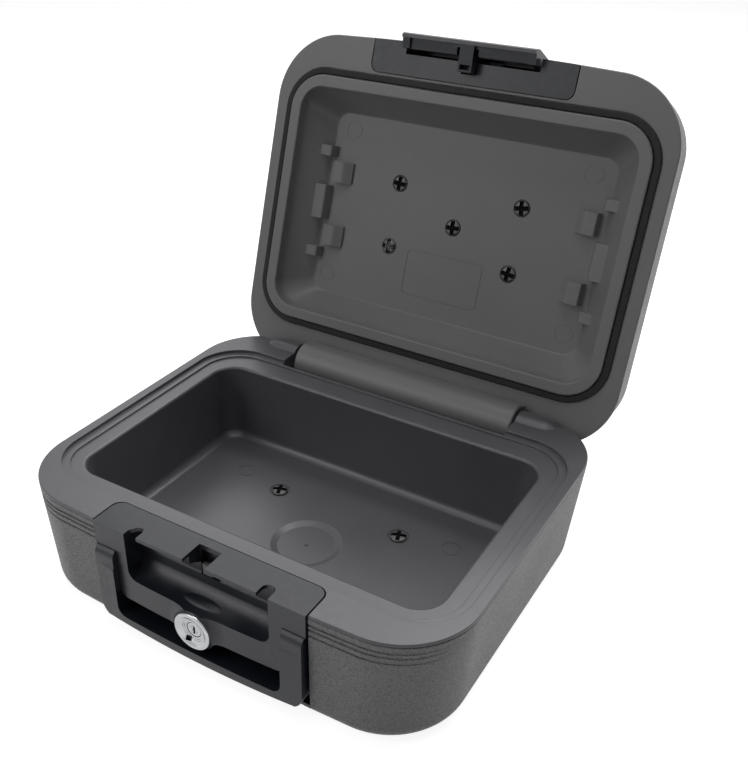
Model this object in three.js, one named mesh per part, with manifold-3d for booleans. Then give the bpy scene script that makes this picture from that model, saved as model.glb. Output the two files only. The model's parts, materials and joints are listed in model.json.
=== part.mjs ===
// Fire-resistant document chest with a carry handle, lid open.
// Millimetres, +Z up, +X to the right and -Y towards the front of the chest.
// The origin is the middle of the base's underside.
// The lid's pieces are modelled closed and turned open about the hinge as one group.

import * as THREE from 'three';
import { mergeVertices } from 'three/addons/utils/BufferGeometryUtils.js';
import Module from 'manifold-3d';

const wasm = await Module();
wasm.setup();

// Overall sizes
const BASE_HEIGHT = 92;
const LID_HEIGHT = 62;
const HALF_WIDTH = 180;
const FRONT_Y = -149.5;
const BACK_Y = 149;
const FRONT_CORNER = 58;
const BACK_CORNER = 56;
const FRONT_BOW = 2.5;
const OPEN_ANGLE = 107.1;

// Walls and working gaps
const SHELL_WALL = 3;
const LINER_WALL = 3;
const SEAT_GAP = 0.3;
const LID_GAP = 0.4;
const RUN_GAP = 0.5;

// Base shell
const SIDE_DRAFT = 7;
const FRONT_DRAFT = 1.5;
const BACK_DRAFT = 5;
const BOTTOM_FILLET = 12;
const GROOVE_DROPS = [8, 12, 17];
const GROOVE_WIDTH = 1.4;
const GROOVE_DEPTH = 0.9;

// Base cavity and rim
const CAVITY_HALF_WIDTH = 152.5;
const CAVITY_FRONT_Y = -103.4;
const CAVITY_BACK_Y = 87.4;
const CAVITY_CORNER = 20;
const CAVITY_DRAFT = 4;
const FLOOR_TOP = 18;
const FLOOR_FILLET = 7;
const EDGE_FILLET = 2.5;
const SHELF_DROP = 4.6;
const LEDGE_DROP = 3;
const SHELF_HALF_WIDTH = 165.5;
const SHELF_FRONT_Y = -115.5;
const SHELF_BACK_Y = 107;
const SHELF_CORNER = 34;
const LEDGE_WIDTH = 6.5;
const LEDGE_FRONT_REACH = 4.6;
const LEDGE_BACK_REACH = 5.5;
const GATE_DISH_Y = -15.7;
const GATE_DISH_RADIUS = 26.5;
const GATE_DISH_SLOPE = 4.5;
const GATE_DISH_DEPTH = 1.6;
const GATE_NUB_RADIUS = 1.6;

// Hinge
const HINGE_Y = 138.4;
const HINGE_DROP = 10.3;
const BARREL_RADIUS = 18;
const BARREL_HALF_LENGTH = 103.5;
const BARREL_ARM_REACH = 16;
const BARREL_SIDE_GAP = 4.5;
const RECESS_FRONT_Y = 109.5;
const RECESS_CLEARANCE = 1.5;
const KNUCKLE_RADIUS = 14;
const KNUCKLE_LENGTH = 38.5;
const KNUCKLE_NOSE = 18;
const TROUGH_CLEARANCE = 0.9;
const BACK_RELIEF = 4.1;
const RELIEF_OVERLAP = 12;
const HINGE_PIN_RADIUS = 3;
const HINGE_PIN_LENGTH = 24;

// Lid cavity, lip and seal
const LIP_PROUD = 4.2;
const LIP_HALF_WIDTH = 162.4;
const LIP_FRONT_Y = -112.5;
const LIP_BACK_Y = 104.5;
const LIP_CORNER = 31;
const LIP_WIDTH = 10.2;
const LIP_ROUND = 1.2;
const PANEL_DEPTH = 29;
const PANEL_HALF_WIDTH = 129.5;
const PANEL_FRONT_Y = -84;
const PANEL_BACK_Y = 78.3;
const PANEL_CORNER = 12;
const SEAL_WIDTH = 6.6;
const SEAL_PROUD = 2.5;
const SEAL_GROOVE = 1.5;
const FLANGE_THICKNESS = 3;
const LID_DRAFT = 4;
const LID_TOP_FILLET = 24;

// Document clips on the lid's panel
const CLIP_PAD = [18, 18.5, 8];
const CLIP_PAD_X = 119;
const CLIP_PAD_Y = 28.75;
const CLIP_STEP = [6, 3];
const CLIP_CORNER = 1.5;
const CLIP_TAB_LENGTH = 9;
const CLIP_TAB_Y = 46;
const CLIP_TAB_INNER_X = 127;
const CLIP_BAR_LENGTH = 29.6;
const CLIP_BAR_INNER_X = 123;
const CLIP_REACH = 15;
const CLIP_THICKNESS = 5;
const CLIP_DEPTH = 9;
const CLIP_MIDDLE_Y = -3;

// Screws
const SCREW_HEAD_RADIUS = 6;
const SCREW_HEAD_HEIGHT = 2.6;
const BASE_SEAT_RADIUS = 8;
const LID_SEAT_RADIUS = 6.8;
const SCREW_SHANK_RADIUS = 2;
const SCREW_SINK = 1;
const CROSS_WIDTH = 2.4;
const CROSS_SPAN = 8.6;
const CROSS_DEPTH = 1.5;
const POST_RADIUS = 5;
const BASE_SCREW_X = 58;
const BASE_SCREW_Y = 30.6;
const LID_SCREW_X = 58;
const LID_SCREW_MIDDLE_Y = -4.2;
const LID_SCREW_Y = 28;
const SCREW_BITE = 9;

// Lock housing in the front of the base
const HOUSING_HALF_WIDTH = 89;
const HOUSING_BACK_Y = -122;
const HOUSING_FOOT = 3;
const SHOULDER_DROP = 18.6;
const PLATE_HALF_WIDTH = 70.8;
const PLATE_BOTTOM = 32;
const FACE_BOW = 3.6;
const FACE_BOW_STEPS = 8;
const PLATE_CHAMFER = 6;
const CHANNEL_BACK_Y = -125.5;
const CHANNEL_FLOOR_FRONT_Y = -143;
const CHANNEL_FLOOR_TOP = 6;
const SCOOP_HALF_WIDTH = 60.5;
const SCOOP_BOTTOM = 52.5;
const SCOOP_RISE = 12.6;
const SCOOP_BACK_Y = -131;
const SCOOP_CORNER = 8;
const DOME_RADIUS = 13;
const DOME_HEIGHT = 4.2;
const LIP_THICKNESS = 3;
const LIP_SETBACK = 1.2;
const NOTCH_INNER_X = 50.5;
const NOTCH_BACK_Y = -137.5;
const SLOT_LEFT_X = -10;
const SLOT_RIGHT_X = 9;
const SLOT_BACK_Y = -129.5;
const POCKET_GAP = 0.9;
const DECK_CORNER = 8;

// Carry handle
const HANDLE_HALF_WIDTH = 88.4;
const HANDLE_LEG_WIDTH = 16.6;
const HANDLE_FRONT_Y = -153;
const HANDLE_BACK_Y = -139;
const HANDLE_BOTTOM = 9.5;
const HANDLE_BAR_HEIGHT = 7.5;
const HANDLE_BOW = 2.8;
const HANDLE_BAR_BACK_Y = -137;
const HANDLE_CORNER = 11;
const HANDLE_INNER_CORNER = 7;
const HANDLE_PIN_RADIUS = 2.2;
const HANDLE_PIN_LENGTH = 22;

// Key lock
const LOCK_Z = 38;
const BOSS_RADIUS = 17;
const BOSS_PROUD = 2.5;
const BOSS_FILLET = 4;
const LOCK_RIM_RADIUS = 15.2;
const LOCK_RIM_PROUD = 3.4;
const LOCK_DISH_DEPTH = 3.2;
const LOCK_TUBE_RADIUS = 9.5;
const PLUG_RADIUS = 6;
const KEY_SLOT = [1.5, 7, 6];
const LOCK_TURN = 90;
const NUT_RADIUS = 12.5;
const NUT_THICKNESS = 4;
const MECHANISM_FRONT_Y = -138;
const CRANK_PIN_RADIUS = 1.4;
const CAM_RADIUS = 7.5;
const CAM_THICKNESS = 2;
const TAIL_RADIUS = 2;
const BOLT_THICKNESS = 3;
const BOLT_HALF_WIDTH = 6;
const BOLT_BACK_Y = -125.3;
const BOLT_LIFT = 6;
const NOSE_HALF_WIDTH = 4;
const NOSE_HEIGHT = 3;
const NOSE_TIP = 6;
const NOSE_TIP_DEPTH = 2.8;
const GEAR_RADIUS = 14.5;

// Latch in the front of the lid
const LATCH_PLATE_HALF_WIDTH = 90;
const LATCH_PLATE_BACK_Y = -121.5;
const LATCH_PLATE_CORNER = 7;
const FLAP_HALF_WIDTH = 58.5;
const FLAP_DROP = 14;
const FLAP_WALL = 3;
const FLAP_TOP_RISE = 31.6;
const FLAP_RIB_WIDTH = 6.5;
const FLAP_PROUD = 5;
const TONGUE_HALF_WIDTH = 6;
const TONGUE_BACK_Y = -130.2;
const TONGUE_WALL = 1.6;
const TONGUE_POCKET = [3.8, 9];
const HOOK_BACK_Y = -142.5;
const HOOK_THICKNESS = 3.2;
const HOOK_STEPS = 4;
const LATCH_PIN_Y = -138.2;
const LATCH_PIN_RISE = 23.1;
const LATCH_PIN_RADIUS = 1.5;
const LATCH_BARREL_RADIUS = 3.8;
const LATCH_BOX_BACK_Y = -125;
const LATCH_BOX_TOP_RISE = 39.6;
const LATCH_BOX_WALL = 3;
const SPRING_COIL_RADIUS = 2.4;
const SPRING_WIRE_RADIUS = 0.5;
const SPRING_TURNS = 5;
const SPRING_X = 20;

// Facets
const CORNER_STEPS = 6;
const FRONT_STEPS = 6;
const ROUND_STEPS = 24;
const FLAT_TOLERANCE = 0.01;

// Heights and places that follow from the sizes above
const shelfZ = BASE_HEIGHT - SHELF_DROP;
const ledgeZ = BASE_HEIGHT - LEDGE_DROP;
const lidLandZ = BASE_HEIGHT + LID_GAP;
const lidTopZ = BASE_HEIGHT + LID_HEIGHT;
const hingeZ = BASE_HEIGHT - HINGE_DROP;
const recessHalfWidth = BARREL_HALF_LENGTH + BARREL_SIDE_GAP;
const latchPinZ = lidLandZ + LATCH_PIN_RISE;
const flapTopZ = lidLandZ + FLAP_TOP_RISE;
const latchBoxTopZ = lidLandZ + LATCH_BOX_TOP_RISE;
const panelZ = lidLandZ + PANEL_DEPTH;
const shellTopZ = BASE_HEIGHT - FLANGE_THICKNESS;
const handlePivotY = (HANDLE_FRONT_Y + HANDLE_BACK_Y) / 2;
const handleLegTop = BASE_HEIGHT - SHOULDER_DROP - RUN_GAP;
const handlePivotZ = handleLegTop - (HANDLE_BACK_Y - HANDLE_FRONT_Y) / 2;
const pocketHalfWidth = HOUSING_HALF_WIDTH + POCKET_GAP;
const faceY = FRONT_Y - FACE_BOW / 2;
const lockFaceY = faceY - BOSS_PROUD;
const lockFrontY = lockFaceY - LOCK_RIM_PROUD;
const lockTubeEndY = MECHANISM_FRONT_Y + NUT_THICKNESS + 3;
const crankAngle = THREE.MathUtils.degToRad(LOCK_TURN / 2);
const crankRadius = BOLT_LIFT / 2 / Math.sin(crankAngle);
const boltFrontY = BOLT_BACK_Y - BOLT_THICKNESS;
const lipBottomZ = BASE_HEIGHT - LIP_THICKNESS;
const flapBottom = BASE_HEIGHT + LID_GAP - FLAP_DROP;
const tongueBottom = flapBottom + 4;
const noseTipTop = tongueBottom - 2 * RUN_GAP;
const pocketBackY = TONGUE_BACK_Y - TONGUE_WALL;
const noseFrontY = pocketBackY - RUN_GAP - NOSE_TIP_DEPTH;
const barrelRoomBottom = hingeZ - BARREL_RADIUS - RECESS_CLEARANCE;
const knuckleStart = recessHalfWidth + SEAT_GAP;
const knuckleEnd = knuckleStart + KNUCKLE_LENGTH;

// Finishes
const finish = (color, roughness, metalness) => new THREE.MeshStandardMaterial({ color, roughness, metalness });
const texturedGrey = finish(0x57585a, 0.75, 0);
const smoothGrey = finish(0x6a6b6e, 0.5, 0);
const blackPlastic = finish(0x2a2c30, 0.45, 0);
const blackRubber = finish(0x17181a, 0.8, 0);
const castFill = finish(0xb9b4a8, 0.95, 0);
const satinChrome = finish(0xc8c9cb, 0.3, 1);
const steel = finish(0x8d8f92, 0.4, 1);
const blackScrew = finish(0x303234, 0.4, 0.8);

// Solids from geometries, and meshes from solids
function solid(geometry) {
  const bare = geometry.index ? geometry.toNonIndexed() : geometry;
  bare.deleteAttribute('normal');
  bare.deleteAttribute('uv');
  const merged = mergeVertices(bare, 1e-4);
  return new wasm.Manifold(new wasm.Mesh({
    numProp: 3,
    vertProperties: new Float32Array(merged.attributes.position.array),
    triVerts: new Uint32Array(merged.index.array),
  }));
}

function mesh(name, body, material, parent) {
  const data = body.asOriginal().simplify(FLAT_TOLERANCE).getMesh();
  const geometry = new THREE.BufferGeometry();
  geometry.setAttribute('position', new THREE.BufferAttribute(new Float32Array(data.vertProperties), 3));
  geometry.setIndex(new THREE.BufferAttribute(new Uint32Array(data.triVerts), 1));
  geometry.computeVertexNormals();
  const piece = new THREE.Mesh(geometry, material);
  piece.name = name;
  parent.add(piece);
  return piece;
}

const join = (...bodies) => bodies.reduce((whole, body) => whole.add(body));

// Plan outline of the chest, seen from above: bowed front, round corners, moved in by inset
function planOutline(size, inset = 0) {
  const halfWidth = size.halfWidth - inset;
  const front = size.front + inset;
  const back = size.back - inset;
  const frontRadius = Math.max(size.frontRadius - inset, 1);
  const backRadius = Math.max(size.backRadius - inset, 1);
  const bow = size.bow ?? 0;
  const points = [];
  const corner = (cx, cy, radius, start) => {
    for (let i = 0; i <= CORNER_STEPS; i++) {
      const angle = start + (Math.PI / 2) * (i / CORNER_STEPS);
      points.push(new THREE.Vector2(cx + radius * Math.cos(angle), cy + radius * Math.sin(angle)));
    }
  };
  corner(halfWidth - frontRadius, front + bow + frontRadius, frontRadius, -Math.PI / 2);
  corner(halfWidth - backRadius, back - backRadius, backRadius, 0);
  corner(backRadius - halfWidth, back - backRadius, backRadius, Math.PI / 2);
  corner(frontRadius - halfWidth, front + bow + frontRadius, frontRadius, Math.PI);
  const reach = halfWidth - frontRadius;
  for (let i = 1; i < FRONT_STEPS; i++) {
    const x = reach * (2 * i / FRONT_STEPS - 1);
    points.push(new THREE.Vector2(x, front + bow * (x / reach) ** 2));
  }
  return points;
}

// Skin over sections with equal point counts, each { points, z }, rising in z
function skin(sections) {
  const count = sections[0].points.length;
  const position = [];
  for (const { points, z } of sections) {
    for (const p of points) position.push(p.x, p.y, z);
  }
  const index = [];
  for (let s = 0; s + 1 < sections.length; s++) {
    for (let i = 0; i < count; i++) {
      const a = s * count + i;
      const b = s * count + (i + 1) % count;
      index.push(a, b, b + count, a, b + count, a + count);
    }
  }
  const last = (sections.length - 1) * count;
  for (const [a, b, c] of THREE.ShapeUtils.triangulateShape(sections[0].points, [])) {
    index.push(c, b, a);
    index.push(last + a, last + b, last + c);
  }
  const geometry = new THREE.BufferGeometry();
  geometry.setAttribute('position', new THREE.Float32BufferAttribute(position, 3));
  geometry.setIndex(index);
  return solid(geometry);
}

// Prisms along each axis from a shape or a list of [a, b] points
function asShape(outline) {
  if (outline instanceof THREE.Shape) return outline;
  return new THREE.Shape(outline.map((p) => (Array.isArray(p) ? new THREE.Vector2(...p) : p)));
}

function extrude(outline, depth, curveSegments = 8) {
  return new THREE.ExtrudeGeometry(asShape(outline), { depth, bevelEnabled: false, curveSegments });
}

function prismZ(outline, z0, z1, curveSegments) {
  return solid(extrude(outline, z1 - z0, curveSegments).translate(0, 0, z0));
}

function prismX(outline, x0, x1) {
  const turn = new THREE.Matrix4().makeBasis(
    new THREE.Vector3(0, 1, 0), new THREE.Vector3(0, 0, 1), new THREE.Vector3(1, 0, 0));
  return solid(extrude(outline, x1 - x0).applyMatrix4(turn).translate(x0, 0, 0));
}

function prismY(outline, y0, y1) {
  return solid(extrude(outline, y1 - y0).rotateX(Math.PI / 2).translate(0, y1, 0));
}

function box(x0, x1, y0, y1, z0, z1) {
  return solid(new THREE.BoxGeometry(x1 - x0, y1 - y0, z1 - z0)
    .translate((x0 + x1) / 2, (y0 + y1) / 2, (z0 + z1) / 2));
}

// Rectangle with round corners, as a shape
function roundedRect(x0, x1, y0, y1, radius) {
  const shape = new THREE.Shape();
  shape.moveTo(x0 + radius, y0);
  shape.lineTo(x1 - radius, y0);
  shape.absarc(x1 - radius, y0 + radius, radius, -Math.PI / 2, 0);
  shape.lineTo(x1, y1 - radius);
  shape.absarc(x1 - radius, y1 - radius, radius, 0, Math.PI / 2);
  shape.lineTo(x0 + radius, y1);
  shape.absarc(x0 + radius, y1 - radius, radius, Math.PI / 2, Math.PI);
  shape.lineTo(x0, y0 + radius);
  shape.absarc(x0 + radius, y0 + radius, radius, Math.PI, Math.PI * 1.5);
  return shape;
}

// Revolved pieces: profile points are [radius, height along the axis]
function lathe(profile, steps = ROUND_STEPS) {
  return new THREE.LatheGeometry(profile.map(([r, h]) => new THREE.Vector2(r, h)), steps);
}

function rod(radius, length) {
  return [[0, 0], [radius, 0], [radius, length], [0, length]];
}

const latheX = (profile, x, y, z, steps) => solid(lathe(profile, steps).rotateZ(-Math.PI / 2).translate(x, y, z));
const latheY = (profile, x, y, z, steps) => solid(lathe(profile, steps).translate(x, y, z));
const latheZ = (profile, x, y, z, steps) => solid(lathe(profile, steps).rotateX(Math.PI / 2).translate(x, y, z));

function mirrorX(body) {
  return body.mirror([1, 0, 0]);
}

// The outline of the rim, shared by base and lid
const rimPlan = {
  halfWidth: HALF_WIDTH,
  front: FRONT_Y,
  back: BACK_Y,
  frontRadius: FRONT_CORNER,
  backRadius: BACK_CORNER,
  bow: FRONT_BOW,
};

const cavityPlan = {
  halfWidth: CAVITY_HALF_WIDTH,
  front: CAVITY_FRONT_Y,
  back: CAVITY_BACK_Y,
  frontRadius: CAVITY_CORNER,
  backRadius: CAVITY_CORNER,
};

const shelfPlan = {
  halfWidth: SHELF_HALF_WIDTH,
  front: SHELF_FRONT_Y,
  back: SHELF_BACK_Y,
  frontRadius: SHELF_CORNER,
  backRadius: SHELF_CORNER,
};

const ledgePlan = {
  halfWidth: SHELF_HALF_WIDTH + LEDGE_WIDTH,
  front: SHELF_FRONT_Y - LEDGE_FRONT_REACH,
  back: SHELF_BACK_Y + LEDGE_BACK_REACH,
  frontRadius: SHELF_CORNER + LEDGE_FRONT_REACH,
  backRadius: SHELF_CORNER + LEDGE_BACK_REACH,
};

const lipPlan = {
  halfWidth: LIP_HALF_WIDTH,
  front: LIP_FRONT_Y,
  back: LIP_BACK_Y,
  frontRadius: LIP_CORNER,
  backRadius: LIP_CORNER,
};

// Plan of the base's wall at a height: nearly upright in front, drafted at the sides and back
function basePlan(z) {
  const share = 1 - z / shellTopZ;
  return {
    ...rimPlan,
    halfWidth: HALF_WIDTH - SIDE_DRAFT * share,
    front: FRONT_Y + FRONT_DRAFT * share,
    back: BACK_Y - BACK_DRAFT * share,
  };
}

// Inset of the fillet under the base at a height
function bottomInset(z) {
  if (z >= BOTTOM_FILLET) return 0;
  return BOTTOM_FILLET - Math.sqrt(BOTTOM_FILLET ** 2 - (BOTTOM_FILLET - z) ** 2);
}

function baseForm(inset, bottom, top) {
  const heights = [0, 0.07, 0.25, 0.6, 1].map((share) => bottom + share * (BOTTOM_FILLET - bottom));
  heights.push(top);
  return skin(heights.map((z) => ({ points: planOutline(basePlan(z), bottomInset(z) + inset), z })));
}

// The lid's cap: tapered walls and a round shoulder to a flat top
function lidInset(z) {
  const straightTop = lidTopZ - LID_TOP_FILLET;
  const share = Math.min((z - lidLandZ) / (straightTop - lidLandZ), 1);
  if (z <= straightTop) return LID_DRAFT * share;
  const rise = Math.min((z - straightTop) / LID_TOP_FILLET, 1);
  return LID_DRAFT + LID_TOP_FILLET * (1 - Math.sqrt(1 - rise * rise));
}

function lidForm(inset, bottom, top) {
  const straightTop = lidTopZ - LID_TOP_FILLET;
  const heights = [bottom, straightTop];
  for (const share of [0.4, 0.7, 0.88, 0.97, 1]) heights.push(straightTop + share * LID_TOP_FILLET);
  const shift = lidTopZ - top;
  return skin(heights.map((z, i) => ({
    points: planOutline(rimPlan, lidInset(z) + inset),
    z: i === 0 ? z : z - shift,
  })));
}

// Round-ended knuckle on the hinge line, on the right; radius and ends grow by extra
function knuckle(extra) {
  const nose = KNUCKLE_LENGTH - KNUCKLE_NOSE;
  const radius = KNUCKLE_RADIUS + extra;
  const profile = [[0, -extra], [radius, -extra], [radius, nose]];
  for (let i = 1; i < 6; i++) {
    const angle = (Math.PI / 2) * (i / 6);
    profile.push([radius * Math.cos(angle), nose + (KNUCKLE_NOSE + extra) * Math.sin(angle)]);
  }
  profile.push([0, KNUCKLE_LENGTH + extra]);
  return latheX(profile, knuckleStart, HINGE_Y, hingeZ);
}

function bothKnuckles(extra) {
  const right = knuckle(extra);
  return join(right, mirrorX(right));
}

// Room in the base for the lid's hinge barrel, grown by extra for the wall round it
function barrelRoom(extra) {
  const radius = BARREL_RADIUS + RECESS_CLEARANCE + extra;
  const half = recessHalfWidth + extra;
  const round = latheX(rod(radius, 2 * half), -half, HINGE_Y, hingeZ);
  const above = box(-half, half, RECESS_FRONT_Y - extra, BACK_Y + radius,
    hingeZ - extra, BASE_HEIGHT + radius);
  const behind = box(-half, half, HINGE_Y, BACK_Y + radius, hingeZ - radius, BASE_HEIGHT);
  return join(round, above, behind);
}

// Square room round the hinge line that the cast fills leave free, from z0 up
function hingeBay(extra, z0) {
  const half = knuckleEnd + extra;
  const reach = BARREL_RADIUS + RECESS_CLEARANCE + extra;
  const top = Math.max(hingeZ + KNUCKLE_RADIUS + TROUGH_CLEARANCE, hingeZ + BARREL_RADIUS) + extra;
  return box(-half, half, RECESS_FRONT_Y - extra, HINGE_Y + reach + 9, z0, top);
}

// Cut that rounds the base's rim about the hinge line beside a knuckle, where the lid's rim rolls over
function makeHingeRelief() {
  const x0 = knuckleEnd - RELIEF_OVERLAP;
  const x1 = knuckleEnd + RELIEF_OVERLAP;
  const radius = BASE_HEIGHT - hingeZ - SEAT_GAP;
  const corner = box(x0, x1, HINGE_Y, BACK_Y + 9, hingeZ, BASE_HEIGHT + 1);
  return corner.subtract(latheX(rod(radius, x1 - x0 + 2), x0 - 1, HINGE_Y, hingeZ, 36));
}

const hingeRelief = makeHingeRelief();

const hingeBore = (radius, x0, x1) => latheX(rod(radius, x1 - x0), x0, HINGE_Y, hingeZ);

// Pocket in the front of the base for the lock housing and the handle
function housingPocket(extra) {
  const back = HOUSING_BACK_Y + SEAT_GAP + extra;
  const half = pocketHalfWidth + extra;
  return prismZ(roundedRect(-half, half, FRONT_Y - 20, back, DECK_CORNER + extra),
    -1, BASE_HEIGHT + 1);
}

function post(x, y, z0, z1, radius) {
  return latheZ(rod(radius, z1 - z0), x, y, z0, 16);
}

const baseScrewPlaces = [-1, 1].map((side) => [side * BASE_SCREW_X, BASE_SCREW_Y]);
const lidScrewPlaces = [[0, LID_SCREW_MIDDLE_Y]];
for (const y of [LID_SCREW_MIDDLE_Y - LID_SCREW_Y, LID_SCREW_MIDDLE_Y + LID_SCREW_Y]) {
  for (const side of [-1, 1]) lidScrewPlaces.push([side * LID_SCREW_X, y]);
}

const floorBottom = FLOOR_TOP - LINER_WALL;
const screwPilot = SCREW_SHANK_RADIUS + SEAT_GAP;

// Base shell: drafted tub with corner grooves, screw posts and room for housing and hinge
function makeBaseShell() {
  const outer = baseForm(0, 0, shellTopZ);
  const pocket = housingPocket(0);
  let hollow = baseForm(SHELL_WALL, SHELL_WALL, shellTopZ + 1);
  hollow = hollow.subtract(housingPocket(SHELL_WALL));
  let shell = outer.subtract(hollow).subtract(pocket);
  for (const [x, y] of baseScrewPlaces) {
    shell = shell.add(post(x, y, SHELL_WALL / 2, floorBottom - SEAT_GAP, POST_RADIUS));
    shell = shell.subtract(post(x, y, floorBottom - SCREW_BITE, floorBottom, screwPilot));
  }
  for (const drop of GROOVE_DROPS) {
    const z = BASE_HEIGHT - drop;
    const plan = basePlan(z);
    const inside = planOutline({ ...plan, halfWidth: plan.halfWidth + GROOVE_DEPTH }, GROOVE_DEPTH);
    const outside = planOutline(plan, -4);
    const band = [-GROOVE_WIDTH / 2, GROOVE_WIDTH / 2].map((dz) => z + dz);
    const ring = prismZ(outside, ...band).subtract(prismZ(inside, ...band));
    const cornerEnd = FRONT_Y + FRONT_BOW + FRONT_CORNER;
    shell = shell.subtract(ring.intersect(box(-HALF_WIDTH - 9, HALF_WIDTH + 9, FRONT_Y - 9, cornerEnd, 0, z + 9)));
  }
  return shell.subtract(barrelRoom(LINER_WALL + SEAT_GAP)).subtract(bothKnuckles(SEAT_GAP));
}

// Tub of the base liner: mouth fillet, drafted walls, round floor edge
function cavityForm(inset, floor, top) {
  const sections = [];
  for (let i = 0; i <= 4; i++) {
    const angle = (Math.PI / 2) * (i / 4);
    const z = floor + FLOOR_FILLET * (1 - Math.cos(angle));
    const draft = CAVITY_DRAFT * (1 - (z - FLOOR_TOP) / (shelfZ - FLOOR_TOP));
    sections.push({ points: planOutline(cavityPlan, draft + inset + FLOOR_FILLET * (1 - Math.sin(angle))), z });
  }
  sections.push({ points: planOutline(cavityPlan, inset), z: top - EDGE_FILLET });
  return sections;
}

// Screw seat: through hole and a shallow counterbore seen from the cavity
function screwSeat(x, y, faceZ, direction, seatRadius) {
  const hole = post(x, y, faceZ - 8, faceZ + 8, screwPilot);
  const [z0, z1] = direction > 0 ? [faceZ - SCREW_SINK, faceZ + 6] : [faceZ - 6, faceZ + SCREW_SINK];
  return join(hole, post(x, y, z0, z1, seatRadius));
}

// Base liner: stepped rim, cavity, hinge knuckles and the trough for the lid's barrel
function makeBaseLiner() {
  const rimTop = skin([
    { points: planOutline(rimPlan, 0), z: shellTopZ + SEAT_GAP },
    { points: planOutline(rimPlan, 0), z: BASE_HEIGHT - 1 },
    { points: planOutline(rimPlan, 0.4), z: BASE_HEIGHT - 0.3 },
    { points: planOutline(rimPlan, 1.1), z: BASE_HEIGHT },
  ]);
  const skirt = prismZ(planOutline(rimPlan, SHELL_WALL + 2 * SEAT_GAP), shelfZ - LINER_WALL, BASE_HEIGHT - 1)
    .subtract(housingPocket(SHELL_WALL + SEAT_GAP));
  const tubOutside = skin(cavityForm(-LINER_WALL, floorBottom, shelfZ + EDGE_FILLET));
  let liner = join(rimTop, skirt, tubOutside);
  liner = liner.subtract(prismZ(planOutline(ledgePlan), ledgeZ, BASE_HEIGHT + 1));
  liner = liner.subtract(prismZ(planOutline(shelfPlan), shelfZ, BASE_HEIGHT + 1));
  liner = liner.subtract(housingPocket(0));
  liner = liner.add(barrelRoom(LINER_WALL).intersect(prismZ(planOutline(rimPlan, 0.8), barrelRoomBottom - LINER_WALL - 1, ledgeZ - 1)));
  liner = liner.subtract(join(hingeRelief, mirrorX(hingeRelief)));
  liner = liner.add(bothKnuckles(0)).subtract(barrelRoom(0));
  const mouth = cavityForm(0, FLOOR_TOP, shelfZ);
  for (const [share, out] of [[0.5, 0.33], [0.13, 1.25], [0, EDGE_FILLET]]) {
    mouth.push({ points: planOutline(cavityPlan, -out), z: shelfZ - share * EDGE_FILLET });
  }
  mouth.push({ points: planOutline(cavityPlan, -EDGE_FILLET), z: shelfZ + 1 });
  liner = liner.subtract(skin(mouth));
  const dish = latheZ([[0, 0], [GATE_DISH_RADIUS - GATE_DISH_SLOPE, 0],
    [GATE_DISH_RADIUS, GATE_DISH_DEPTH + 0.2], [0, GATE_DISH_DEPTH + 0.2]],
  0, GATE_DISH_Y, FLOOR_TOP - GATE_DISH_DEPTH);
  const nub = latheZ([[0, 0], [GATE_NUB_RADIUS, 0], [GATE_NUB_RADIUS / 2, 2], [0, 2]],
    0, GATE_DISH_Y, FLOOR_TOP - GATE_DISH_DEPTH - 1, 12);
  liner = liner.subtract(dish).add(nub);
  for (const [x, y] of baseScrewPlaces) liner = liner.subtract(screwSeat(x, y, FLOOR_TOP, 1, BASE_SEAT_RADIUS));
  for (const side of [-1, 1]) {
    const start = side > 0 ? knuckleStart - 1 : -knuckleStart - HINGE_PIN_LENGTH / 2;
    liner = liner.subtract(hingeBore(HINGE_PIN_RADIUS + SEAT_GAP, start, start + HINGE_PIN_LENGTH / 2 + 1));
  }
  return liner;
}

// Cast fill between the base's shell and liner
function makeBaseInsulation() {
  const gap = SHELL_WALL + SEAT_GAP;
  let fill = baseForm(gap, gap, shelfZ - LINER_WALL - SEAT_GAP);
  fill = fill.subtract(housingPocket(gap));
  const room = cavityForm(-LINER_WALL - SEAT_GAP, floorBottom - SEAT_GAP, shelfZ + EDGE_FILLET);
  fill = fill.subtract(skin(room));
  fill = fill.subtract(hingeBay(gap, hingeZ - BARREL_RADIUS - RECESS_CLEARANCE - gap));
  for (const [x, y] of baseScrewPlaces) fill = fill.subtract(post(x, y, 0, FLOOR_TOP, POST_RADIUS + SEAT_GAP));
  return fill;
}

// Cross-head screw pointing down from its head; flip turns it to point up
function screw(x, y, headZ, length, flip) {
  const head = SCREW_HEAD_HEIGHT;
  const profile = [[0, 0], [SCREW_SHANK_RADIUS, 0], [SCREW_SHANK_RADIUS, length],
    [SCREW_HEAD_RADIUS, length], [SCREW_HEAD_RADIUS, length + head * 0.4],
    [SCREW_HEAD_RADIUS * 0.75, length + head * 0.85], [0, length + head]];
  let body = latheZ(profile, 0, 0, 0, 12);
  const top = length + head;
  const half = CROSS_SPAN / 2;
  body = body.subtract(box(-half, half, -CROSS_WIDTH / 2, CROSS_WIDTH / 2, top - CROSS_DEPTH, top + 1));
  body = body.subtract(box(-CROSS_WIDTH / 2, CROSS_WIDTH / 2, -half, half, top - CROSS_DEPTH, top + 1));
  body = body.rotate([0, 0, 20]);
  if (flip) return body.rotate([180, 0, 0]).translate([x, y, headZ + length]);
  return body.translate([x, y, headZ - length]);
}

// Plan between a bowed front and a straight back; the front is at y in the middle and falls back by bow at half
function bowedPlan(half, y, bow, back) {
  const points = [[half, back], [-half, back]];
  for (let i = 0; i <= FACE_BOW_STEPS; i++) {
    const share = 2 * i / FACE_BOW_STEPS - 1;
    points.push([half * share, y + bow * share ** 2]);
  }
  return points;
}

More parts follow.
